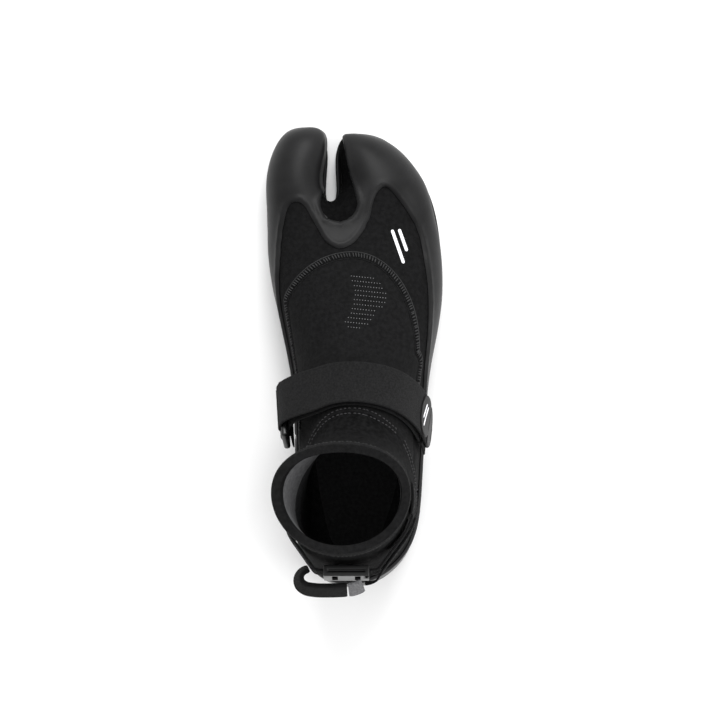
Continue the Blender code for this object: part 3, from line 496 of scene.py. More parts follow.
def coordinates(finish, source="Object"):
    return add_node(finish, "ShaderNodeTexCoord").outputs[source]


def tone(finish, shader, dark, light, scale):
    """Mixes two colours by a noise of that scale, per metre."""
    ramp = add_node(finish, "ShaderNodeValToRGB")
    stops = ramp.color_ramp.elements
    for stop, place, colour in zip(stops, (0.35, 0.65), (dark, light)):
        stop.position = place
        stop.color = (*colour, 1.0)
    link(finish, noise_height(finish, scale, 4.0), ramp.inputs["Fac"])
    link(finish, ramp.outputs["Color"], shader.inputs["Base Color"])


def uneven_gloss(finish, shader, scale, low, high):
    """Roughness that wanders between two values."""
    spread = add_node(finish, "ShaderNodeMapRange")
    spread.inputs["To Min"].default_value = low
    spread.inputs["To Max"].default_value = high
    link(finish, noise_height(finish, scale), spread.inputs["Value"])
    link(finish, spread.outputs["Result"], shader.inputs["Roughness"])


def relief(finish, shader, heights, strength, depth):
    """Raises the surface by the sum of some textures' outputs."""
    total = heights[0]
    for more in heights[1:]:
        add = add_node(finish, "ShaderNodeMath", operation="ADD")
        link(finish, total, add.inputs[0])
        link(finish, more, add.inputs[1])
        total = add.outputs[0]
    bump = add_node(finish, "ShaderNodeBump", Strength=strength, Distance=depth)
    link(finish, total, bump.inputs["Height"])
    link(finish, bump.outputs["Normal"], shader.inputs["Normal"])


def noise_height(finish, scale, detail=3.0):
    texture = add_node(finish, "ShaderNodeTexNoise", Scale=scale, Detail=detail)
    link(finish, coordinates(finish), texture.inputs["Vector"])
    return texture.outputs["Fac"]


def cell_height(finish, scale):
    texture = add_node(finish, "ShaderNodeTexVoronoi", Scale=scale)
    link(finish, coordinates(finish), texture.inputs["Vector"])
    return texture.outputs["Distance"]


def rib_height(finish, scale, direction):
    """Ribs along or across a band, on its UV map."""
    texture = add_node(finish, "ShaderNodeTexWave", Scale=scale, Distortion=1.2)
    texture.bands_direction = direction
    link(finish, coordinates(finish, "UV"), texture.inputs["Vector"])
    return texture.outputs["Fac"]


# %% The finishes
def jersey_finish(name, dark, light, cell, gloss=0.07):
    """Knitted nylon laminated on foam: fine loops, quite matt."""
    finish, shader = new_finish(name, 0.85, gloss)
    tone(finish, shader, dark, light, 420.0)
    relief(finish, shader, [cell_height(finish, cell), noise_height(finish, 150.0)], 0.55, 0.0003)
    return finish


def rubber_finish(name, dark, light, low, high, gloss):
    """Moulded rubber: satin, with a very fine grain."""
    finish, shader = new_finish(name, 0.5, gloss)
    tone(finish, shader, dark, light, 60.0)
    uneven_gloss(finish, shader, 40.0, low, high)
    relief(finish, shader, [noise_height(finish, 1400.0), noise_height(finish, 90.0)], 0.25, 0.00025)
    return finish


def webbing_finish(name, dark, light, thread, sheen=0.04):
    """Woven webbing with a light pile: warp ribs along it and weft across, on the band's UV map."""
    finish, shader = new_finish(name, 0.9, 0.08)
    shader.inputs["Sheen Weight"].default_value = sheen
    tone(finish, shader, dark, light, 900.0)
    ribs = rib_height(finish, thread, "X")
    weft = rib_height(finish, thread * 1.3, "Y")
    relief(finish, shader, [ribs, weft, noise_height(finish, 1500.0)], 0.5, 0.0003)
    return finish


def plain_finish(name, dark, light, roughness, scale, strength=0.3, gloss=0.3):
    finish, shader = new_finish(name, roughness, gloss)
    tone(finish, shader, dark, light, scale)
    relief(finish, shader, [noise_height(finish, 900.0)], strength, 0.0002)
    return finish


def grey(value):
    return (value, value, value * 1.03)


jersey = jersey_finish("jersey", grey(0.0038), grey(0.0068), 1100.0)
# The gusset's jersey is darker and duller than the rest of the jersey: painted shade on the walls of the
# toe split.
gusset_jersey_painted_shade = jersey_finish("gusset_jersey_painted_shade", grey(0.0025), grey(0.0045), 1100.0, 0.02)
cuff_jersey = jersey_finish("cuff_jersey", grey(0.0022), grey(0.0070), 620.0, 0.04)
instep_jersey = jersey_finish("instep_jersey", grey(0.0042), grey(0.0076), 900.0)
binding_finish = jersey_finish("binding_jersey", grey(0.0050), grey(0.0085), 1300.0, 0.08)
lining_finish = jersey_finish("dark_lining", grey(0.0260), grey(0.0400), 800.0, 0.03)
grey_lining = jersey_finish("grey_lining", grey(0.100), grey(0.140), 900.0)
rubber = rubber_finish("rubber", grey(0.0075), grey(0.0120), 0.36, 0.50, 0.12)
heel_rubber = rubber_finish("heel_rubber", grey(0.0075), grey(0.0115), 0.28, 0.42, 0.16)
sole_rubber = rubber_finish("sole_rubber", grey(0.0065), grey(0.0105), 0.5, 0.65, 0.18)
foam = plain_finish("foam", grey(0.0500), grey(0.0700), 0.95, 500.0, 0.6, 0.05)
webbing = webbing_finish("webbing", grey(0.0058), grey(0.0125), 420.0, 0.025)
tape = webbing_finish("keeper_tape", grey(0.0030), grey(0.0085), 520.0, 0.02)
hooks_finish = plain_finish("hooks", grey(0.0045), grey(0.0110), 0.9, 900.0, 0.9, 0.1)
plastic = plain_finish("gloss_plastic", grey(0.0030), grey(0.0045), 0.3, 90.0, 0.03, 0.4)
tab_rubber = plain_finish("tab_rubber", grey(0.0030), grey(0.0050), 0.45, 200.0, 0.12, 0.12)
thread_finish = plain_finish("thread", grey(0.0120), grey(0.0260), 0.7, 900.0)
stitch_grey = plain_finish("light_thread", grey(0.022), grey(0.042), 0.7, 900.0)
dot_print = plain_finish("dot_print", grey(0.120), grey(0.190), 0.6, 500.0, 0.1)
white_print = plain_finish("white_print", grey(0.74), grey(0.84), 0.5, 300.0, 0.1)
end_grey = webbing_finish("sealed_end", grey(0.11), grey(0.19), 420.0)
print("finishes:", len(bpy.data.materials))

# %% [markdown]
# ## Panels
# A panel is a piece of the form given two sides and a rim. Its outer side rolls down to the seam, as
# foam does where a needle pulls it in, and the rubber swells into a soft lip along its edge. Solidify
# would give an even wall; here the wall's height follows the distance to the panel's edge.


# %% How a panel's wall is made
def edge_samples(sheet):
    """A search tree of points along the open edges of a sheet."""
    points = []
    for edge in sheet.edges:
        if edge.is_boundary:
            a, b = (v.co for v in edge.verts)
            points += [a.lerp(b, k / 3) for k in range(3)]
    tree = KDTree(len(points))
    for i, point in enumerate(points):
        tree.insert(point, i)
    tree.balance()
    return tree


def panel(name, wanted, inner, outer, finish, stands_for, profile=None, gap=0.15):
    """A closed panel from the wanted faces of the form. profile gives the outer side's height above
    outer, in millimetres, at a distance from the panel's edge."""
    sheet = form.copy()
    normal = sheet.verts.layers.float_vector["kept_normal"]
    unwanted = [f for f in sheet.faces if not wanted(f.calc_center_median())]
    bmesh.ops.delete(sheet, geom=unwanted, context="FACES")
    edges = edge_samples(sheet)
    height = {}
    pull = {}
    for vert in sheet.verts:
        distance = 0.0 if vert.is_boundary else edges.find(vert.co)[2]
        height[vert.index] = outer + (profile(distance) if profile else 0.0)
        if vert.is_boundary:
            inward = sum((f.calc_center_median() - vert.co for f in vert.link_faces), Vector())
            inward -= inward.dot(vert[normal]) * vert[normal]
            pull[vert] = inward.normalized() * gap
    number = sheet.verts.layers.int.new("number")
    for vert in sheet.verts:
        vert[number] = vert.index
        vert.co += vert[normal] * inner + pull.get(vert, Vector())
    made = bmesh.ops.extrude_face_region(sheet, geom=sheet.faces[:], use_keep_orig=True)
    for vert in made["geom"]:
        if isinstance(vert, bmesh.types.BMVert):
            vert.co += vert[normal] * (height[vert[number]] - inner)
    return dress(from_bmesh(name, sheet), finish, "boot", stands_for)


def rolled(drop, width):
    """A profile that falls by drop at the edge and is level beyond about twice the width."""
    return lambda d: -drop * math.exp(-(d / width) ** 2)


def lipped(drop, lip, at, width):
    """A profile that starts low, swells by lip at that distance and then settles."""
    return lambda d: -drop * math.exp(-(d / 0.8) ** 2) + lip * math.exp(-((d - at) / width) ** 2)


NEOPRENE = 3.0
RUBBER_BASE = 0.4
RUBBER = 1.2
LINING_IN, LINING_OUT = -4.7, -3.6
BINDING_PROUD = 0.8


def above_sole(p):
    return foxing_line(p) > 0


def below_binding(p):
    return collar_line(p, BINDING) < 0


def low_upper(p):
    return above_sole(p) and gusset_line(p) < 0 and ankle_line(p) < 0


def covered(p):
    return above_sole(p) and gusset_line(p) < 0 and rubber_line(p) > 0


# %% Neoprene panels
panel("vamp", lambda p: low_upper(p) and arch_line(p) < 0 and heel_line(p) < 0,
      -NEOPRENE, 0.0, jersey, ["vamp_panel"], rolled(0.7, 1.6))
panel("instep", lambda p: low_upper(p) and arch_line(p) > 0,
      -NEOPRENE, 0.0, instep_jersey, ["instep_panel"], rolled(0.7, 1.6))
panel("heel_quarter", lambda p: low_upper(p) and arch_line(p) < 0 and heel_line(p) > 0,
      -NEOPRENE, 0.0, jersey, ["heel_panel"], rolled(0.6, 1.4))
panel("cuff", lambda p: ankle_line(p) > 0 and below_binding(p),
      -NEOPRENE, 0.0, cuff_jersey, ["ankle_cuff"], rolled(0.7, 1.6))
# Painted shade: the gusset's darker jersey darkens the walls of the split between the toes.
panel("gusset", lambda p: above_sole(p) and gusset_line(p) > 0,
      -2.0, 0.2, gusset_jersey_painted_shade, ["split_gusset"], rolled(0.2, 1.5), 0.4)
panel("sock_sole", lambda p: not above_sole(p), -NEOPRENE, 0.0, jersey, ["sole_sock"])

# %% Rubber over the toes, sides and heel
panel("toe_rubber", lambda p: covered(p) and rand_line(p) > 0, RUBBER_BASE, RUBBER_BASE + RUBBER,
      rubber, ["rubber_rand"], lipped(1.0, 0.6, 2.2, 1.5))
panel("heel_cup", lambda p: covered(p) and rand_line(p) < 0, RUBBER_BASE, RUBBER_BASE + RUBBER,
      heel_rubber, ["heel_counter"], lipped(1.0, 0.5, 2.2, 1.5))

# %% Linings
panel("collar_sleeve", lambda p: collar_line(p, LINING_LOW) > 0 and below_binding(p),
      LINING_IN, LINING_OUT, grey_lining, ["collar_lining"])
panel("foot_sleeve", lambda p: collar_line(p, LINING_LOW) < 0,
      LINING_IN, LINING_OUT, lining_finish, ["foot_lining"])
panel("collar_edge", lambda p: not below_binding(p),
      LINING_IN, BINDING_PROUD, binding_finish, ["collar_binding"], rolled(0.9, 1.6))

# %% [markdown]
# ## Straps and how they follow the foot
# Every strap is one ribbon: a line of rows, each row a few points across the webbing. The rows come
# from rays shot outwards in the strap's plane, so the strap lies on the foot wherever it is. The
# edges are rolled like a real selvage. A curve with a bevel would be quicker, but its ribbon could
# not change height on the way to the ring.


# %% Planes, rows and ribbons
def plane_through(centre, across, out):
    across = Vector(across).normalized()
    out = (Vector(out) - Vector(out).dot(across) * across).normalized()
    return Vector(centre), across, Vector((1.0, 0.0, 0.0)), out


STRAP_PLANE = plane_through((-5.0, -33.0, 56.0), (0.0, -0.83, 0.56), (0.0, 0.56, 0.83))
HEEL_PLANE = plane_through((-8.5, -82.0, 97.0), (0.0, 0.23, 0.97), (0.0, -1.0, 0.0))
STATIONS = (-1.0, -0.985, -0.96, -0.91, -0.8, -0.5, -0.2, 0.2, 0.5, 0.8, 0.91, 0.96, 0.985, 1.0)


def surface_point(plane, angle, shift):
    """Where the form meets a ray in the plane, and the smoothed normal there."""
    centre, across, side, out = plane
    hits = []
    for turn in (-4.0, 0.0, 4.0):
        a = math.radians(angle + turn)
        hits.append(skin.ray_cast(centre + across * shift, side * math.cos(a) + out * math.sin(a))[0])
    normal = (hits[2] - hits[0]).cross(across).normalized()
    if normal.dot(hits[1] - centre) < 0:
        normal = -normal
    return hits[1], normal


def always(value):
    return lambda at: value


def rows_round(plane, start, stop, count, width, height):
    """Rows from one angle to another. width and height are given by angle."""
    rows = []
    for i in range(count + 1):
        angle = start + (stop - start) * i / count
        row = [surface_point(plane, angle, s * width(angle) / 2) for s in STATIONS]
        rows.append([(p + n * height(angle), n) for p, n in row])
    return rows


def ribbon(name, rows, thick, rim=0.0):
    """A closed ribbon on its rows, with rolled edges and a UV map in metres. rim raises its border."""
    bm = bmesh.new()
    place = {}
    sheets = ([], [])
    along = 0.0
    for i, row in enumerate(rows):
        if i:
            along += (row[6][0] - rows[i - 1][6][0]).length
        width = (row[-1][0] - row[0][0]).length
        round_part = min(0.45, 1.1 * thick / max(width, thick))
        at_end = i in (0, len(rows) - 1)
        for sheet, way in zip(sheets, (-1.0, 1.0)):
            line = []
            for s, (point, normal) in zip(STATIONS, row):
                into = max(0.0, (abs(s) - 1.0 + round_part) / round_part)
                half = thick / 2 * max(0.2, math.sqrt(1.0 - min(1.0, into) ** 2))
                half *= 0.7 if at_end else 1.0
                raised = rim if way > 0 and (abs(s) > 0.75 or i < 3 or i > len(rows) - 4) else 0.0
                vert = bm.verts.new(point + normal * (thick / 2 + way * half + raised * (1.0 - into)))
                place[vert] = (along * MM, s * width / 2 * MM)
                line.append(vert)
            sheet.append(line)
    for sheet in sheets:
        for first, second in zip(sheet, sheet[1:]):
            for k in range(len(first) - 1):
                bm.faces.new((first[k], first[k + 1], second[k + 1], second[k]))
    rims = []
    for sheet in sheets:
        right, left = [r[-1] for r in sheet[1:]], [r[0] for r in sheet[-2:0:-1]]
        rims.append(sheet[0] + right + sheet[-1][-2::-1] + left)
    bridge(bm, *rims)
    uv = bm.loops.layers.uv.new("UVMap")
    for face in bm.faces:
        for corner in face.loops:
            corner[uv].uv = place[corner.vert]
    return from_bmesh(name, bm)


# %% [markdown]
# ## The instep strap
# A lower run is sewn to the boot, follows the instep, stands away from the foot on the big toe's
# side and turns round a plastic ring. The upper run comes back from the ring over it and is held by
# hook and loop; it ends in a moulded tab.

# %% The strap's numbers
WEBBING = 1.3
AIR = 0.3
HOOK = 0.6
STRAP_WIDTH = 28.0
UNDER = 1.0
LOOP_HEIGHT_ON = UNDER + WEBBING + AIR
HOOKS_ON = LOOP_HEIGHT_ON + HOOK + AIR
OVER = HOOKS_ON + HOOK + AIR
MEDIAL_END, UNDER_END, LATERAL_END = 168.0, 165.0, -14.0
FLARE_FROM = 118.0
STAND = 8.5
RING_WIRE = 2.0
RING_CLEAR = 30.0
RING_SHORT = 6.5
RING_TILT = 0.4
RING_HEIGHT_ON = UNDER + STAND + WEBBING + AIR + 2 * RING_WIRE + AIR
WRAP_END = 168.0
PATCH_WIDTH = 24.0


def flare(angle):
    t = min(1.0, max(0.0, (angle - FLARE_FROM) / (UNDER_END - FLARE_FROM)))
    return t * t * (3 - 2 * t)


def ring_frame():
    """Centre of the ring's strap bar, the bar's direction, outward, and down towards the keeper."""
    low, normal = surface_point(STRAP_PLANE, MEDIAL_END, -STRAP_WIDTH / 2)
    high, other = surface_point(STRAP_PLANE, MEDIAL_END, STRAP_WIDTH / 2)
    bar = (high - low).normalized()
    outward = (normal + other).normalized()
    outward = (outward - outward.dot(bar) * bar).normalized()
    down = outward.cross(bar).normalized()
    if down.z > 0:
        down = -down
    return (low + high) / 2 + outward * (UNDER + STAND + WEBBING + AIR + RING_WIRE), bar, outward, down


def rows_round_bar(centre, bar, outward, down, radius, width, stop, count):
    """Rows round a bar: angle 0 faces the foot, 90 is below the bar and 180 is outside it."""
    rows = []
    for i in range(count + 1):
        a = math.radians(stop * i / count)
        normal = -outward * math.cos(a) + down * math.sin(a)
        rows.append([(centre + bar * width / 2 * s + normal * radius, normal) for s in STATIONS])
    return rows


# %% The lower run and the hook and loop
bar_centre, bar_way, ring_out, ring_down = ring_frame()
lower = rows_round(STRAP_PLANE, LATERAL_END + 4.0, UNDER_END, 64, always(STRAP_WIDTH),
                   lambda a: UNDER + STAND * flare(a))
turn = rows_round_bar(bar_centre, bar_way, ring_out, ring_down,
                      RING_WIRE + AIR, STRAP_WIDTH, WRAP_END, 16)
turn = [[(p + n * WEBBING, -n) for p, n in row] for row in turn]
dress(ribbon("strap_lower_run", lower + turn, WEBBING), webbing, "boot", ["strap_under"])
loops = rows_round(STRAP_PLANE, 4.0, 112.0, 44, always(PATCH_WIDTH), always(LOOP_HEIGHT_ON))
dress(ribbon("strap_loops", loops, HOOK), hooks_finish, "boot", ["loop_patch"])
hooks = rows_round(STRAP_PLANE, 0.0, 48.0, 20, always(PATCH_WIDTH), always(HOOKS_ON))
dress(ribbon("strap_hooks", hooks, HOOK), hooks_finish, "strap", ["hook_patch"])


def upper_height(angle):
    return OVER + (RING_HEIGHT_ON - OVER) * flare(angle)


upper = rows_round(STRAP_PLANE, MEDIAL_END, LATERAL_END, 72, always(STRAP_WIDTH), upper_height)
strap_top = ribbon("strap_upper_run", upper, WEBBING)
strap_top.data.materials.append(webbing)
strap_top.data.shade_smooth()
strap_top.data.set_sharp_from_angle(angle=math.radians(38.0))
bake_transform(strap_top)
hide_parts("strap_over")

# %% [markdown]
# The tab is a thin moulded tongue with a raised border at the strap's end, and a badge of the same
# rubber is sewn over the end. Their rows are as wide as an oval is there. The anchor is webbing.

# %% Tab, badge and anchor
TAB_FROM, TAB_TO, TAB_WIDE = -14.3, -28.5, 27.0
BADGE_FROM, BADGE_TO = 9.5, -13.6
ANCHOR_ON, ANCHOR_WIDTH = 2.4, 30.0


def tab_width(angle):
    t = (angle - TAB_FROM) / (TAB_TO - TAB_FROM)
    return TAB_WIDE * max(0.35, (1.0 - max(0.0, t) ** 3.0) ** 0.5)


def badge_width(angle):
    t = (angle - BADGE_FROM) / (BADGE_TO - BADGE_FROM)
    return TAB_WIDE * max(0.3, (1.0 - abs(2 * t - 1) ** 2.4) ** 0.45)


tab_rows = rows_round(STRAP_PLANE, TAB_FROM, TAB_TO, 26, tab_width, always(OVER - 0.2))
dress(ribbon("strap_end_tab", tab_rows, 1.5, 0.35), tab_rubber, "tab", ["strap_tab"])
badge = rows_round(STRAP_PLANE, BADGE_FROM, BADGE_TO, 30, badge_width, always(OVER + WEBBING - 0.3))
dress(ribbon("strap_end_badge", badge, 0.9, 0.25), tab_rubber, "strap")
anchor = rows_round(STRAP_PLANE, LATERAL_END + 3.2, -26.0, 12, always(ANCHOR_WIDTH), always(ANCHOR_ON))
dress(ribbon("strap_anchor_patch", anchor, WEBBING), webbing, "boot", ["strap_anchor"])

# %% [markdown]
# ## The ring and its keeper
# The ring starts as a flat box. Its two big faces are inset and bridged, which opens the hole, and a
# bevel makes the bars nearly round, as moulded rings are. The keeper is webbing, folded round the
# ring's lower bar with both legs going down to the sole.


# %% A rectangular ring
def box_ring(name, long_side, short_side, thick, bar, rounding):
    deselect()
    bpy.ops.mesh.primitive_cube_add(size=1.0)
    obj = bpy.context.object
    obj.name = name
    obj.scale = (long_side, short_side, thick)
    bpy.ops.object.transform_apply(location=False, rotation=False, scale=True)
    bpy.ops.object.mode_set(mode="EDIT")
    bpy.ops.mesh.select_mode(type="FACE")
    bm = bmesh.from_edit_mesh(obj.data)
    for face in bm.faces:
        face.select_set(abs(face.normal.z) > 0.9)
    bmesh.update_edit_mesh(obj.data)
    bpy.ops.mesh.inset(thickness=bar)
    bpy.ops.mesh.bridge_edge_loops()
    bpy.ops.mesh.select_all(action="SELECT")
    bpy.ops.mesh.normals_make_consistent(inside=False)
    bpy.ops.object.mode_set(mode="OBJECT")
    apply_modifier(obj, "BEVEL", width=rounding, segments=5, limit_method="ANGLE")
    return obj


def place_piece(obj, middle, first, second, third):
    """Turns a piece drawn about its own centre into three directions, in the foot's millimetres."""
    turn = Matrix((first, second, third)).transposed().to_4x4()
    obj.data.transform(TO_FRAME @ Matrix.Translation(middle) @ turn)
    return obj


tilted = (ring_down - ring_out * RING_TILT).normalized()
ring_normal = (ring_out - ring_out.dot(tilted) * tilted).normalized()
ring = box_ring("strap_ring_frame", RING_CLEAR + 4 * RING_WIRE, 2 * RING_SHORT + 2 * RING_WIRE,
                2 * RING_WIRE, 2 * RING_WIRE, 1.6)
place_piece(ring, bar_centre + tilted * RING_SHORT, bar_way, tilted, bar_way.cross(tilted))
dress(ring, plastic, "boot", ["strap_ring"])

KEEPER_WIDTH, KEEPER_TAIL, KEEPER_CLOSE, KEEPER_ROWS = 24.0, 12.0, 2.6, 8
low_bar = bar_centre + tilted * 2 * RING_SHORT
fold = rows_round_bar(low_bar, bar_way, ring_normal, -tilted, RING_WIRE + AIR, KEEPER_WIDTH, 180.0, 16)
inner_leg, outer_leg = [], []
for k in range(1, KEEPER_ROWS + 1):
    inner_way = tilted * KEEPER_TAIL * k / KEEPER_ROWS
    outer_way = inner_way - ring_normal * KEEPER_CLOSE * k / KEEPER_ROWS
    inner_leg.append([(p + inner_way, n) for p, n in fold[0]])
    outer_leg.append([(p + outer_way, n) for p, n in fold[-1]])
keeper = ribbon("ring_keeper_loop", inner_leg[::-1] + fold + outer_leg, WEBBING)
dress(keeper, tape, "boot", ["ring_keeper"])

# %% [markdown]
# ## The heel strap
# A second strap runs round the heel between two sewn anchors. Behind the heel it lies straight, so
# that the plastic slider can ride on it. Its line is the outline of the heel in the strap's plane,
# pulled tight like a string round it, which is what a convex hull is.

# %% The line of the heel strap
HEEL_WEBBING = 1.6
HEEL_BAND = 17.0
FLAT_HALF = 17.5
HEEL_SLACK = 0.9
HEEL_LIFT = 2.2
SLING_TALL, SLING_OUT = 10.0, 0.4


def even_line(points, pitch, rounds):
    """Points at even steps along a line, with its corners eased that many times."""
    points = [Vector(p) for p in points]
    line = [points[0]]
    for a, b in zip(points, points[1:]):
        steps = max(1, round((b - a).length / pitch))
        line += [a.lerp(b, k / steps) for k in range(1, steps + 1)]
    for _ in range(rounds):
        line = [line[0]] + [(a + 2 * b + c) / 4 for a, b, c in zip(line, line[1:], line[2:])] + [line[-1]]
    return line


def heel_line_points():
    centre, across, side, out = HEEL_PLANE
    points = []
    for angle in range(12, 170, 3):
        reach = 0.0
        for shift in (-HEEL_BAND / 2, 0.0, HEEL_BAND / 2):
            hit, _ = surface_point(HEEL_PLANE, angle, shift)
            reach = max(reach, (hit - centre - across * shift).length)
        a = math.radians(angle)
        points.append(Vector((math.cos(a), math.sin(a))) * (reach + HEEL_SLACK))
    back = max(p.y for p in points) + HEEL_LIFT
    points += [Vector((FLAT_HALF, back)), Vector((-FLAT_HALF, back))]
    hull = convex_hull_2d(points)
    return sorted((points[i] for i in hull), key=lambda p: math.atan2(p.y, p.x)), back


def rows_along(path, height, leans):
    """Rows of a ribbon along a line in the heel strap's plane; leans tilt each row's top outwards."""
    centre, across, side, out = HEEL_PLANE
    rows = []
    for i, (p, lean) in enumerate(zip(path, leans)):
        before, after = path[max(i - 1, 0)], path[min(i + 1, len(path) - 1)]
        run = (after - before).normalized()
        normal = side * run.y - out * run.x
        upright = across + normal * lean
        place = centre + side * p.x + out * p.y
        rows.append([(place + upright * height / 2 * s, normal) for s in STATIONS])
    return rows


heel_hull, heel_back = heel_line_points()
heel_run = even_line(heel_hull, 1.2, 2)
heel_rows = rows_along(heel_run, HEEL_BAND, [0.0] * len(heel_run))
dress(ribbon("heel_strap_run", heel_rows, HEEL_WEBBING), webbing, "boot", ["heel_strap"])
for name, node, start, stop in (
    ("heel_anchor_outer", "heel_anchor_lateral", 10.0, -16.0),
    ("heel_anchor_inner", "heel_anchor_medial", 171.0, 192.0),
):
    rows = rows_round(HEEL_PLANE, start, stop, 14, always(HEEL_BAND + 5.0), always(UNDER))
    dress(ribbon(name, rows, 1.5), tape, "boot", [node])

# %% [markdown]
# The sling is the dark band that is sewn over the heel strap and stands clear of the slider.

# %% Sling
sling_part = even_line([p for p in heel_run if p.x > 18.5], 1.6, 1)
sling_rows = rows_along(sling_part, SLING_TALL, [0.0] * len(sling_part))
sling_rows = [[(p + n * (HEEL_WEBBING + SLING_OUT), n) for p, n in row] for row in sling_rows]
tail = even_line([(17.0, heel_back + 5.2), (14.2, heel_back + 6.4), (10.6, heel_back + 6.8)], 1.2, 1)
leans = [0.1 + 0.2 * k / (len(tail) - 1) for k in range(len(tail))]
sling_rows += rows_along(tail, SLING_TALL, leans)
dress(ribbon("heel_sling_band", sling_rows, 1.4), tape, "boot", ["heel_sling"])

# %% [markdown]
# ## The slider
# A glossy ladder slider: a flat sleeve round the strap with two slots in its outer plate. It starts
# as a box, the passage and the slots are cut with Boolean and applied, and a bevel rounds it all.


# %% The slider's body
def solid_box(size, middle):
    deselect()
    bpy.ops.mesh.primitive_cube_add(size=1.0, location=middle)
    box = bpy.context.object
    box.scale = size
    bpy.ops.object.transform_apply(location=True, rotation=False, scale=True)
    return box


def cut_away(obj, cutter):
    apply_modifier(obj, "BOOLEAN", operation="DIFFERENCE", object=cutter, solver="EXACT")
    bpy.data.objects.remove(cutter)


CLEARANCE, BACK_WALL, FRONT_WALL = 0.4, 1.2, 2.6
SLIDER_WIDE, SLIDER_TALL = 26.0, 22.0
SLOT, SLOT_PLACE = 3.2, 6.5
inside, outside = -CLEARANCE, HEEL_WEBBING + CLEARANCE
middle = (outside + inside) / 2
deep = outside + FRONT_WALL - inside + BACK_WALL
slider = solid_box((SLIDER_WIDE, deep, SLIDER_TALL), (0.0, middle + (FRONT_WALL - BACK_WALL) / 2, 0.0))
slider.name = "heel_slider_body"
passage = (SLIDER_WIDE + 14.0, outside - inside, HEEL_BAND + 2 * CLEARANCE)
cut_away(slider, solid_box(passage, (0.0, middle, 0.0)))
for side in (-SLOT_PLACE, SLOT_PLACE):
    cut_away(slider, solid_box((SLOT, 8.0, HEEL_BAND - 1.2), (side, outside + 3.5, 0.0)))
for end in (-SLIDER_TALL / 2, SLIDER_TALL / 2):
    cut_away(slider, solid_box((21.0, 1.5, 2.6), (0.0, middle + 0.6, end)))
apply_modifier(slider, "BEVEL", width=0.95, segments=5, limit_method="ANGLE")
centre, across, side_way, out_way = HEEL_PLANE
place_piece(slider, centre + out_way * heel_back, side_way, out_way, across)
deselect()
bpy.context.view_layer.objects.active = slider
slider.select_set(True)
bpy.ops.object.mode_set(mode="EDIT")
bpy.ops.mesh.select_all(action="SELECT")
bpy.ops.mesh.normals_make_consistent(inside=False)
bpy.ops.object.mode_set(mode="OBJECT")
dress(slider, plastic, "slider", ["heel_slider"], 30.0)

# %% [markdown]
# ## The pull loop
# Thick soft webbing that stands out behind the heel for a finger. Its end is sealed and paler.

# %% Pull loop and its end
LOOP_LINE = (
    (-21.6, 37.4), (-25.4, 38.8), (-27.6, 42.4), (-26.8, 46.6), (-23.0, 49.2), (-16.0, 50.0),
    (-8.0, 50.0), (0.5, 49.6),
)
LOOP_END = ((1.3, 49.6), (4.0, 49.2), (7.0, 48.2), (9.4, 46.8))
LOOP_TALL, LOOP_THICK, LOOP_LEAN = 15.0, 2.8, 0.3
for name, node, line, finish, slot in (
    ("pull_loop_band", "pull_loop", LOOP_LINE, tape, "webbing"),
    ("pull_loop_tip", "pull_loop_end", LOOP_END, end_grey, "grey_end"),
):
    path = even_line(line, 1.2, 4)
    rows = rows_along(path, LOOP_TALL, [LOOP_LEAN] * len(path))
    rows = [[(p - n * LOOP_THICK / 2, n) for p, n in row] for row in rows]
    dress(ribbon(name, rows, LOOP_THICK), finish, "loop", [node])

# %% [markdown]
# ## The sole
# Moulded rubber with a low wall round the foot. It is lofted up an outline: a small chamfer at the
# ground, a groove round the wall and a rounded lip. Zigzag grooves are cut across the tread.

# %% Outsole
OUTLINE = (
    (-2.0, -134.5), (15.0, -131.0), (28.5, -118.0), (35.0, -97.0), (37.5, -72.0), (38.5, -45.0),
    (40.5, -15.0), (44.5, 12.0), (48.0, 40.0), (49.2, 68.0), (45.0, 95.0), (36.5, 114.0),
    (24.0, 129.0), (7.0, 138.0), (-9.0, 139.5), (-15.6, 128.0), (-15.4, 104.0), (-18.6, 96.0),
    (-21.8, 104.0), (-20.9, 130.0), (-26.0, 141.0), (-38.0, 143.0), (-51.0, 134.0), (-57.2, 111.0),
    (-57.9, 80.0), (-54.2, 48.0), (-47.4, 18.0), (-41.0, -14.0), (-38.2, -45.0), (-38.5, -72.0),
    (-37.5, -97.0), (-32.0, -117.0), (-19.0, -131.0),
)
# height and how far inside the outline, from the tread up over the lip to the floor inside
WALL = (
    (0.0, 1.0), (0.5, 0.3), (1.2, 0.0), (4.2, 0.0), (4.6, 0.5), (5.2, 0.5), (5.6, 0.0), (7.6, 0.05),
    (8.3, 0.4), (8.6, 1.0), (8.5, 1.6), (7.8, 2.2), (5.1, 3.2),
)


def smooth_outline(points, steps):
    n = len(points)
    outline = []
    for i in range(n):
        p0, p1, p2, p3 = (Vector(points[(i + k) % n]) for k in (-1, 0, 1, 2))
        for s in range(steps):
            t = s / steps
            bend = (2 * p0 - 5 * p1 + 4 * p2 - p3) * t * t + (3 * p1 - p0 - 3 * p2 + p3) * t ** 3
            outline.append(0.5 * (2 * p1 + (p2 - p0) * t + bend))
    return outline


outline = smooth_outline(OUTLINE, 6)
sole_mesh = bmesh.new()
rings = []
for z, inset in WALL:
    ring_points = []
    for i, p in enumerate(outline):
        way = outline[(i + 1) % len(outline)] - outline[i - 1]
        inward = Vector((-way.y, way.x)).normalized()
        ring_points.append(sole_mesh.verts.new((p.x + inward.x * inset, p.y + inward.y * inset, z)))
    rings.append(ring_points)
for first, second in zip(rings, rings[1:]):
    bridge(sole_mesh, first, second)
sole_mesh.faces.new(rings[0])
sole_mesh.faces.new(rings[-1])
outsole = from_bmesh("outsole_shell", sole_mesh)

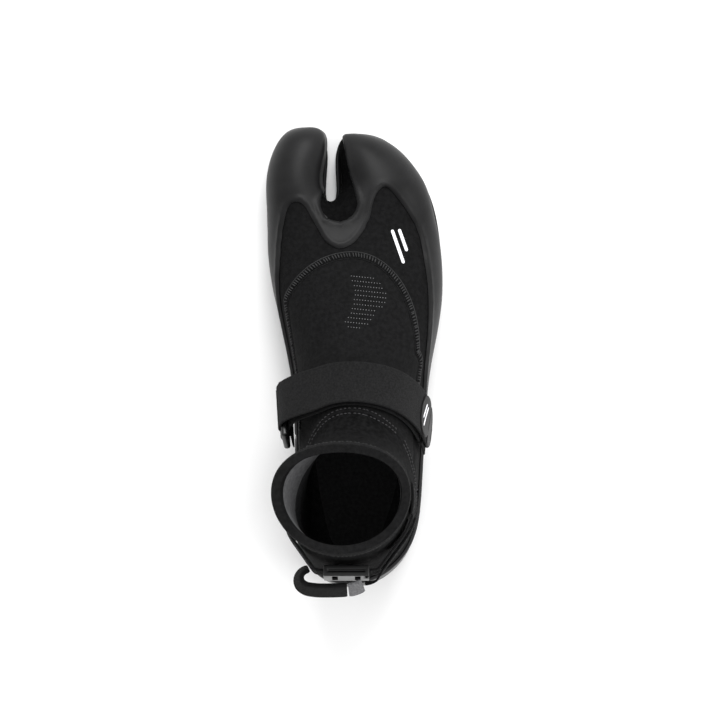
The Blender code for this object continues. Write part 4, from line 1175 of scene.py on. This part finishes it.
GROOVE_ROWS = (-112.0, -98.0, -84.0, -70.0, -56.0, -2.0, 14.0, 30.0, 46.0, 62.0, 78.0)
GROOVE, TREAD, ZIGZAG, ZIG = 3.2, 1.8, 1.4, 6.0
grooves = bmesh.new()
for y in GROOVE_ROWS:
    edge = [(-76.0 + ZIG * k, y + (ZIGZAG if k % 2 else -ZIGZAG)) for k in range(26)]
    shape = [(x, v - GROOVE / 2) for x, v in edge] + [(x, v + GROOVE / 2) for x, v in edge[::-1]]
    base = grooves.faces.new([grooves.verts.new((x, v, -1.0)) for x, v in shape])
    made = bmesh.ops.extrude_face_region(grooves, geom=[base], use_keep_orig=True)
    for vert in made["geom"]:
        if isinstance(vert, bmesh.types.BMVert):
            vert.co.z = TREAD
cut_away(outsole, from_bmesh("grooves", grooves))
dress(outsole, sole_rubber, "boot", ["outsole"])

# %% [markdown]
# ## The footbed
# A foam insole fills the bottom of the lined foot up to a flat top. It is the foot's own form, moved
# inwards and cut level, so it always fits.

# %% Insole
INSOLE_TOP, BED_INSET = 14.3, 4.8
bed = form.copy()
bed_normal = bed.verts.layers.float_vector["kept_normal"]
for vert in bed.verts:
    vert.co -= vert[bed_normal] * BED_INSET
everything = bed.verts[:] + bed.edges[:] + bed.faces[:]
bmesh.ops.bisect_plane(bed, geom=everything, dist=0.05, plane_co=(0, 0, INSOLE_TOP), plane_no=(0, 0, 1),
                       clear_outer=True)
bmesh.ops.holes_fill(bed, edges=[e for e in bed.edges if e.is_boundary], sides=0)
insole = dress(from_bmesh("insole_foam", bed), foam, "boot", ["insole"])

# %% [markdown]
# ## Seams
# The seams are what tells one black panel from the next. Each is a line of the scored form where
# its rule changes sign, walked edge by edge and evened out. Threads are small closed capsules laid
# along or across the line; a texture could draw them, but it would not catch the light.


# %% Lines and threads
def seam_line(rule, where, pitch, rounds=4):
    """The longest line of the form's edges where rule changes sign, at even steps."""
    beside = {}
    for edge in form.edges:
        if len(edge.link_faces) != 2:
            continue
        a, b = (f.calc_center_median() for f in edge.link_faces)
        if rule(a) * rule(b) < 0 and where((edge.verts[0].co + edge.verts[1].co) / 2):
            first, second = edge.verts
            beside.setdefault(first, []).append(second)
            beside.setdefault(second, []).append(first)
    longest, seen = [], set()
    for start in sorted(beside, key=lambda v: (len(beside[v]) != 1, v.index)):
        if start in seen:
            continue
        chain = [start]
        seen.add(start)
        while True:
            ahead = [v for v in beside[chain[-1]] if v not in seen]
            if not ahead:
                break
            chain.append(ahead[0])
            seen.add(ahead[0])
        if len(chain) > len(longest):
            longest = chain
    fine = even_line([v.co for v in longest], 0.8, rounds)
    total, line = 0.0, [fine[0]]
    for a, b in zip(fine, fine[1:]):
        total += (b - a).length
        if total >= pitch:
            line.append(b)
            total -= pitch
    return line


def on_skin(point, lift=0.0):
    near, normal, _, _ = skin.find_nearest(point)
    return near + normal * lift, normal


def beside_line(line, i, shift):
    """A point beside the line, shifted along the surface, with the line's direction and the normal."""
    run = (line[min(i + 1, len(line) - 1)] - line[max(i - 1, 0)]).normalized()
    _, normal = on_skin(line[i])
    side = run.cross(normal).normalized()
    point, normal = on_skin(line[i] + side * shift)
    return point, run, side, normal


# share of the stitch's length, share of its radius, height above the surface in radii
THREAD_SHAPE = (
    (0.0, 0.35, -0.6), (0.12, 0.85, 0.1), (0.5, 1.0, 0.5), (0.88, 0.85, 0.1), (1.0, 0.35, -0.6),
)


def circle(bm, middle, first, second, radius, count=6):
    """Vertices round a point, in the plane of two directions."""
    turns = [math.tau * k / count for k in range(count)]
    return [bm.verts.new(middle + (first * math.cos(a) + second * math.sin(a)) * radius) for a in turns]


def closed_tube(bm, loops):
    for first, second in zip(loops, loops[1:]):
        bridge(bm, first, second)
    bm.faces.new(loops[0])
    bm.faces.new(loops[-1])


def thread(bm, start, end, up, radius):
    """One closed stitch from start to end, bowed away from the surface."""
    axis = end - start
    side = axis.cross(up).normalized()
    lift = side.cross(axis.normalized())
    loops = []
    for along, size, height in THREAD_SHAPE:
        loops.append(circle(bm, start + axis * along + lift * height * radius, side, lift, radius * size))
    closed_tube(bm, loops)


def sewn(name, bm, finish):
    return dress(from_bmesh(name, bm), finish, "boot", (), 60.0)


def running_stitches(name, line, shift, length, radius, lift, finish):
    """Stitches along a line, one for each of its steps."""
    bm = bmesh.new()
    for i in range(1, len(line) - 1):
        point, run, _, normal = beside_line(line, i, shift)
        point += normal * lift
        thread(bm, point - run * length / 2, point + run * length / 2, normal, radius)
    return sewn(name, bm, finish)


def cross_stitches(name, line, inner, outer, slant, radius, finish):
    """Threads that cross the seam from one side to the other."""
    bm = bmesh.new()
    for i in range(1, len(line) - 1):
        start, run, _, normal = beside_line(line, i, inner)
        end = beside_line(line, i, outer)[0]
        thread(bm, start, end + run * slant, normal, radius)
    return sewn(name, bm, finish)


def cord_along(name, line, shift, radius, lift, finish):
    """A round thread that lies along a line."""
    bm = bmesh.new()
    loops = []
    for i in range(1, len(line) - 1):
        point, _, side, normal = beside_line(line, i, shift)
        loops.append(circle(bm, point + normal * lift, side, normal, radius))
    closed_tube(bm, loops)
    return sewn(name, bm, finish)


def shown_arch(p):
    return low_upper(p) and p.y > -40.0


# %% The arched seam, in overlock
arch = seam_line(arch_line, shown_arch, 1.7)
probe, _, _, _ = beside_line(arch, len(arch) // 2, 2.0)
OUT = 1.0 if arch_line(probe) < 0 else -1.0
cross_stitches("arch_overlock", arch, OUT * 0.3, OUT * 3.2, 0.7, 0.42, thread_finish)
cord_along("arch_edge_thread", arch, OUT * 3.5, 0.3, 0.05, thread_finish)
cord_along("arch_groove_thread", arch, -OUT * 0.5, 0.35, -0.45, hooks_finish)

# %% Ankle, heel and collar seams
ankle = seam_line(ankle_line, below_binding, 2.6)
running_stitches("ankle_stitches_low", ankle, 1.9, 1.7, 0.3, -0.1, stitch_grey)
running_stitches("ankle_stitches_high", ankle, -1.9, 1.7, 0.3, -0.1, stitch_grey)
for name, side in (("heel_seam_outer", 1.0), ("heel_seam_inner", -1.0)):
    heel_seam = seam_line(heel_line, lambda p: low_upper(p) and not covered(p) and p.x * side > 0, 2.4)
    running_stitches(name, heel_seam, 1.6, 1.6, 0.3, -0.1, thread_finish)
collar = seam_line(lambda p: collar_line(p, BINDING), lambda p: True, 2.2)
probe, _, _, _ = beside_line(collar, len(collar) // 2, 1.5)
UPWARD = 1.0 if collar_line(probe, BINDING) > 0 else -1.0
running_stitches("collar_stitches", collar, UPWARD * 1.6, 1.5, 0.28, 0.62, thread_finish)

# %% [markdown]
# ## Prints
# A field of fine raised dots lies on the instep, and two pairs of plain slanted bars stand where
# such boots carry a mark. The dots are low domes; the bars are thin patches that follow the surface.

# %% Dots on the instep
# y of each row of dots, and the x it runs between
DOT_ROWS = (
    (50.2, -5.9, 8.8), (47.4, -5.3, 12.3), (44.6, -4.1, 13.5), (41.8, -3.5, 14.7), (39.0, -3.5, 14.7),
    (36.2, -4.1, 14.7), (33.4, -4.1, 13.5), (30.6, -5.3, 8.8), (27.8, -5.9, 8.8), (25.0, -7.6, 5.9),
    (22.2, -9.4, 4.7), (19.4, -7.6, -0.6),
)
DOT_PITCH, DOT_SLOPE, DOT_RADIUS, DOT_RISE = 1.65, 0.1, 0.45, 0.22
DOT_SUNK, DOT_MIDDLE = 0.15, 3.0


def from_above(x, y):
    hit, normal, _, _ = skin.ray_cast(Vector((x, y, 200.0)), Vector((0.0, 0.0, -1.0)))
    return hit, normal


dots = bmesh.new()
for y, left, right in DOT_ROWS:
    for k in range(int((right - left) / DOT_PITCH) + 1):
        x = left + k * DOT_PITCH
        hit, normal = from_above(x, y - DOT_SLOPE * (x - DOT_MIDDLE))
        first = normal.orthogonal().normalized()
        tip = dots.verts.new(hit + normal * DOT_RISE)
        low = circle(dots, hit - normal * DOT_SUNK, first, normal.cross(first), DOT_RADIUS, 8)
        for n, vert in enumerate(low):
            dots.faces.new((vert, low[(n + 1) % 8], tip))
        dots.faces.new(low[::-1])
dress(from_bmesh("instep_dots", dots), dot_print, "boot", (), 80.0)


# %% Plain bars on the vamp and the strap
def bar_rows(place, start, end, width, count=18):
    """Rows of a bar with round ends. place gives the surface at two numbers."""
    start, end = Vector(start), Vector(end)
    run = (end - start).normalized()
    side = Vector((-run.y, run.x))
    length = (end - start).length
    rows = []
    for i in range(count + 1):
        at = length * (1 - math.cos(math.pi * i / count)) / 2
        from_end = min(at, length - at, width / 2)
        half = max(0.25, math.sqrt(max(0.0, (width / 2) ** 2 - (width / 2 - from_end) ** 2)))
        rows.append([place(start + run * at + side * half * s) for s in STATIONS])
    return rows


def on_vamp(p):
    hit, normal = from_above(p.x, p.y)
    return hit - normal * 0.05, normal


def on_strap(p):
    point, normal = surface_point(STRAP_PLANE, p.x, p.y)
    return point + normal * (OVER + WEBBING + 0.5), normal


for name, start, end in (
    ("vamp_bar_long", (18.6, 79.5), (25.6, 59.0)),
    ("vamp_bar_short", (22.9, 80.0), (27.6, 66.5)),
):
    patch = ribbon(name, bar_rows(on_vamp, start, end, 1.9), 0.3)
    dress(patch, white_print, "boot")
for name, start, end in (
    ("strap_bar_long", (-3.5, -7.0), (1.5, 8.0)),
    ("strap_bar_short", (0.0, -7.5), (4.0, 3.5)),
):
    patch = ribbon(name, bar_rows(on_strap, start, end, 1.7), 0.3)
    dress(patch, white_print, "strap")


# %% [markdown]
# ## Floor, light and camera
# A pale floor and large soft lights, as for a product picture from straight above. The camera looks
# down at the instep from 1.3 m.

# %% The stage
CAMERA_HEIGHT = 1.3
LIGHT_SIZE = 1.2
FIELD = 0.4480
CAMERA_SHIFT = Vector((-0.0007, 0.0008, CAMERA_HEIGHT))
SKY = 0.92
bpy.context.scene.view_settings.view_transform = "Standard"


def make_floor():
    deselect()
    bpy.ops.mesh.primitive_plane_add(size=6.0, location=(0, 0, 0))
    floor = bpy.context.object
    floor.name = "studio_floor"
    finish, shader = new_finish("pale_floor", 0.9, 0.1)
    shader.inputs["Base Color"].default_value = (0.92, 0.92, 0.92, 1.0)
    floor.data.materials.append(finish)


def add_light(name, place, power, target=(0.0, 0.0, 0.03)):
    data = bpy.data.lights.new(name, "AREA")
    data.size = LIGHT_SIZE
    data.energy = power
    light = bpy.data.objects.new(name, data)
    bpy.context.scene.collection.objects.link(light)
    light.location = place
    light.rotation_euler = (Vector(target) - Vector(place)).to_track_quat("-Z", "Y").to_euler()


def make_camera():
    data = bpy.data.cameras.new("camera")
    data.lens = data.sensor_width * CAMERA_HEIGHT / FIELD
    camera = bpy.data.objects.new("camera", data)
    bpy.context.scene.collection.objects.link(camera)
    camera.location = FOOT_ORIGIN * MM + CAMERA_SHIFT
    bpy.context.scene.camera = camera


make_floor()
world = bpy.data.worlds.new("studio")
world.use_nodes = True
world.node_tree.nodes["Background"].inputs["Color"].default_value = (1.0, 1.0, 1.0, 1.0)
world.node_tree.nodes["Background"].inputs["Strength"].default_value = SKY
bpy.context.scene.world = world
add_light("toe_softbox", (0.1, 1.5, 1.5), 36.0)
add_light("side_softbox", (1.5, -0.2, 1.3), 16.0)
make_camera()
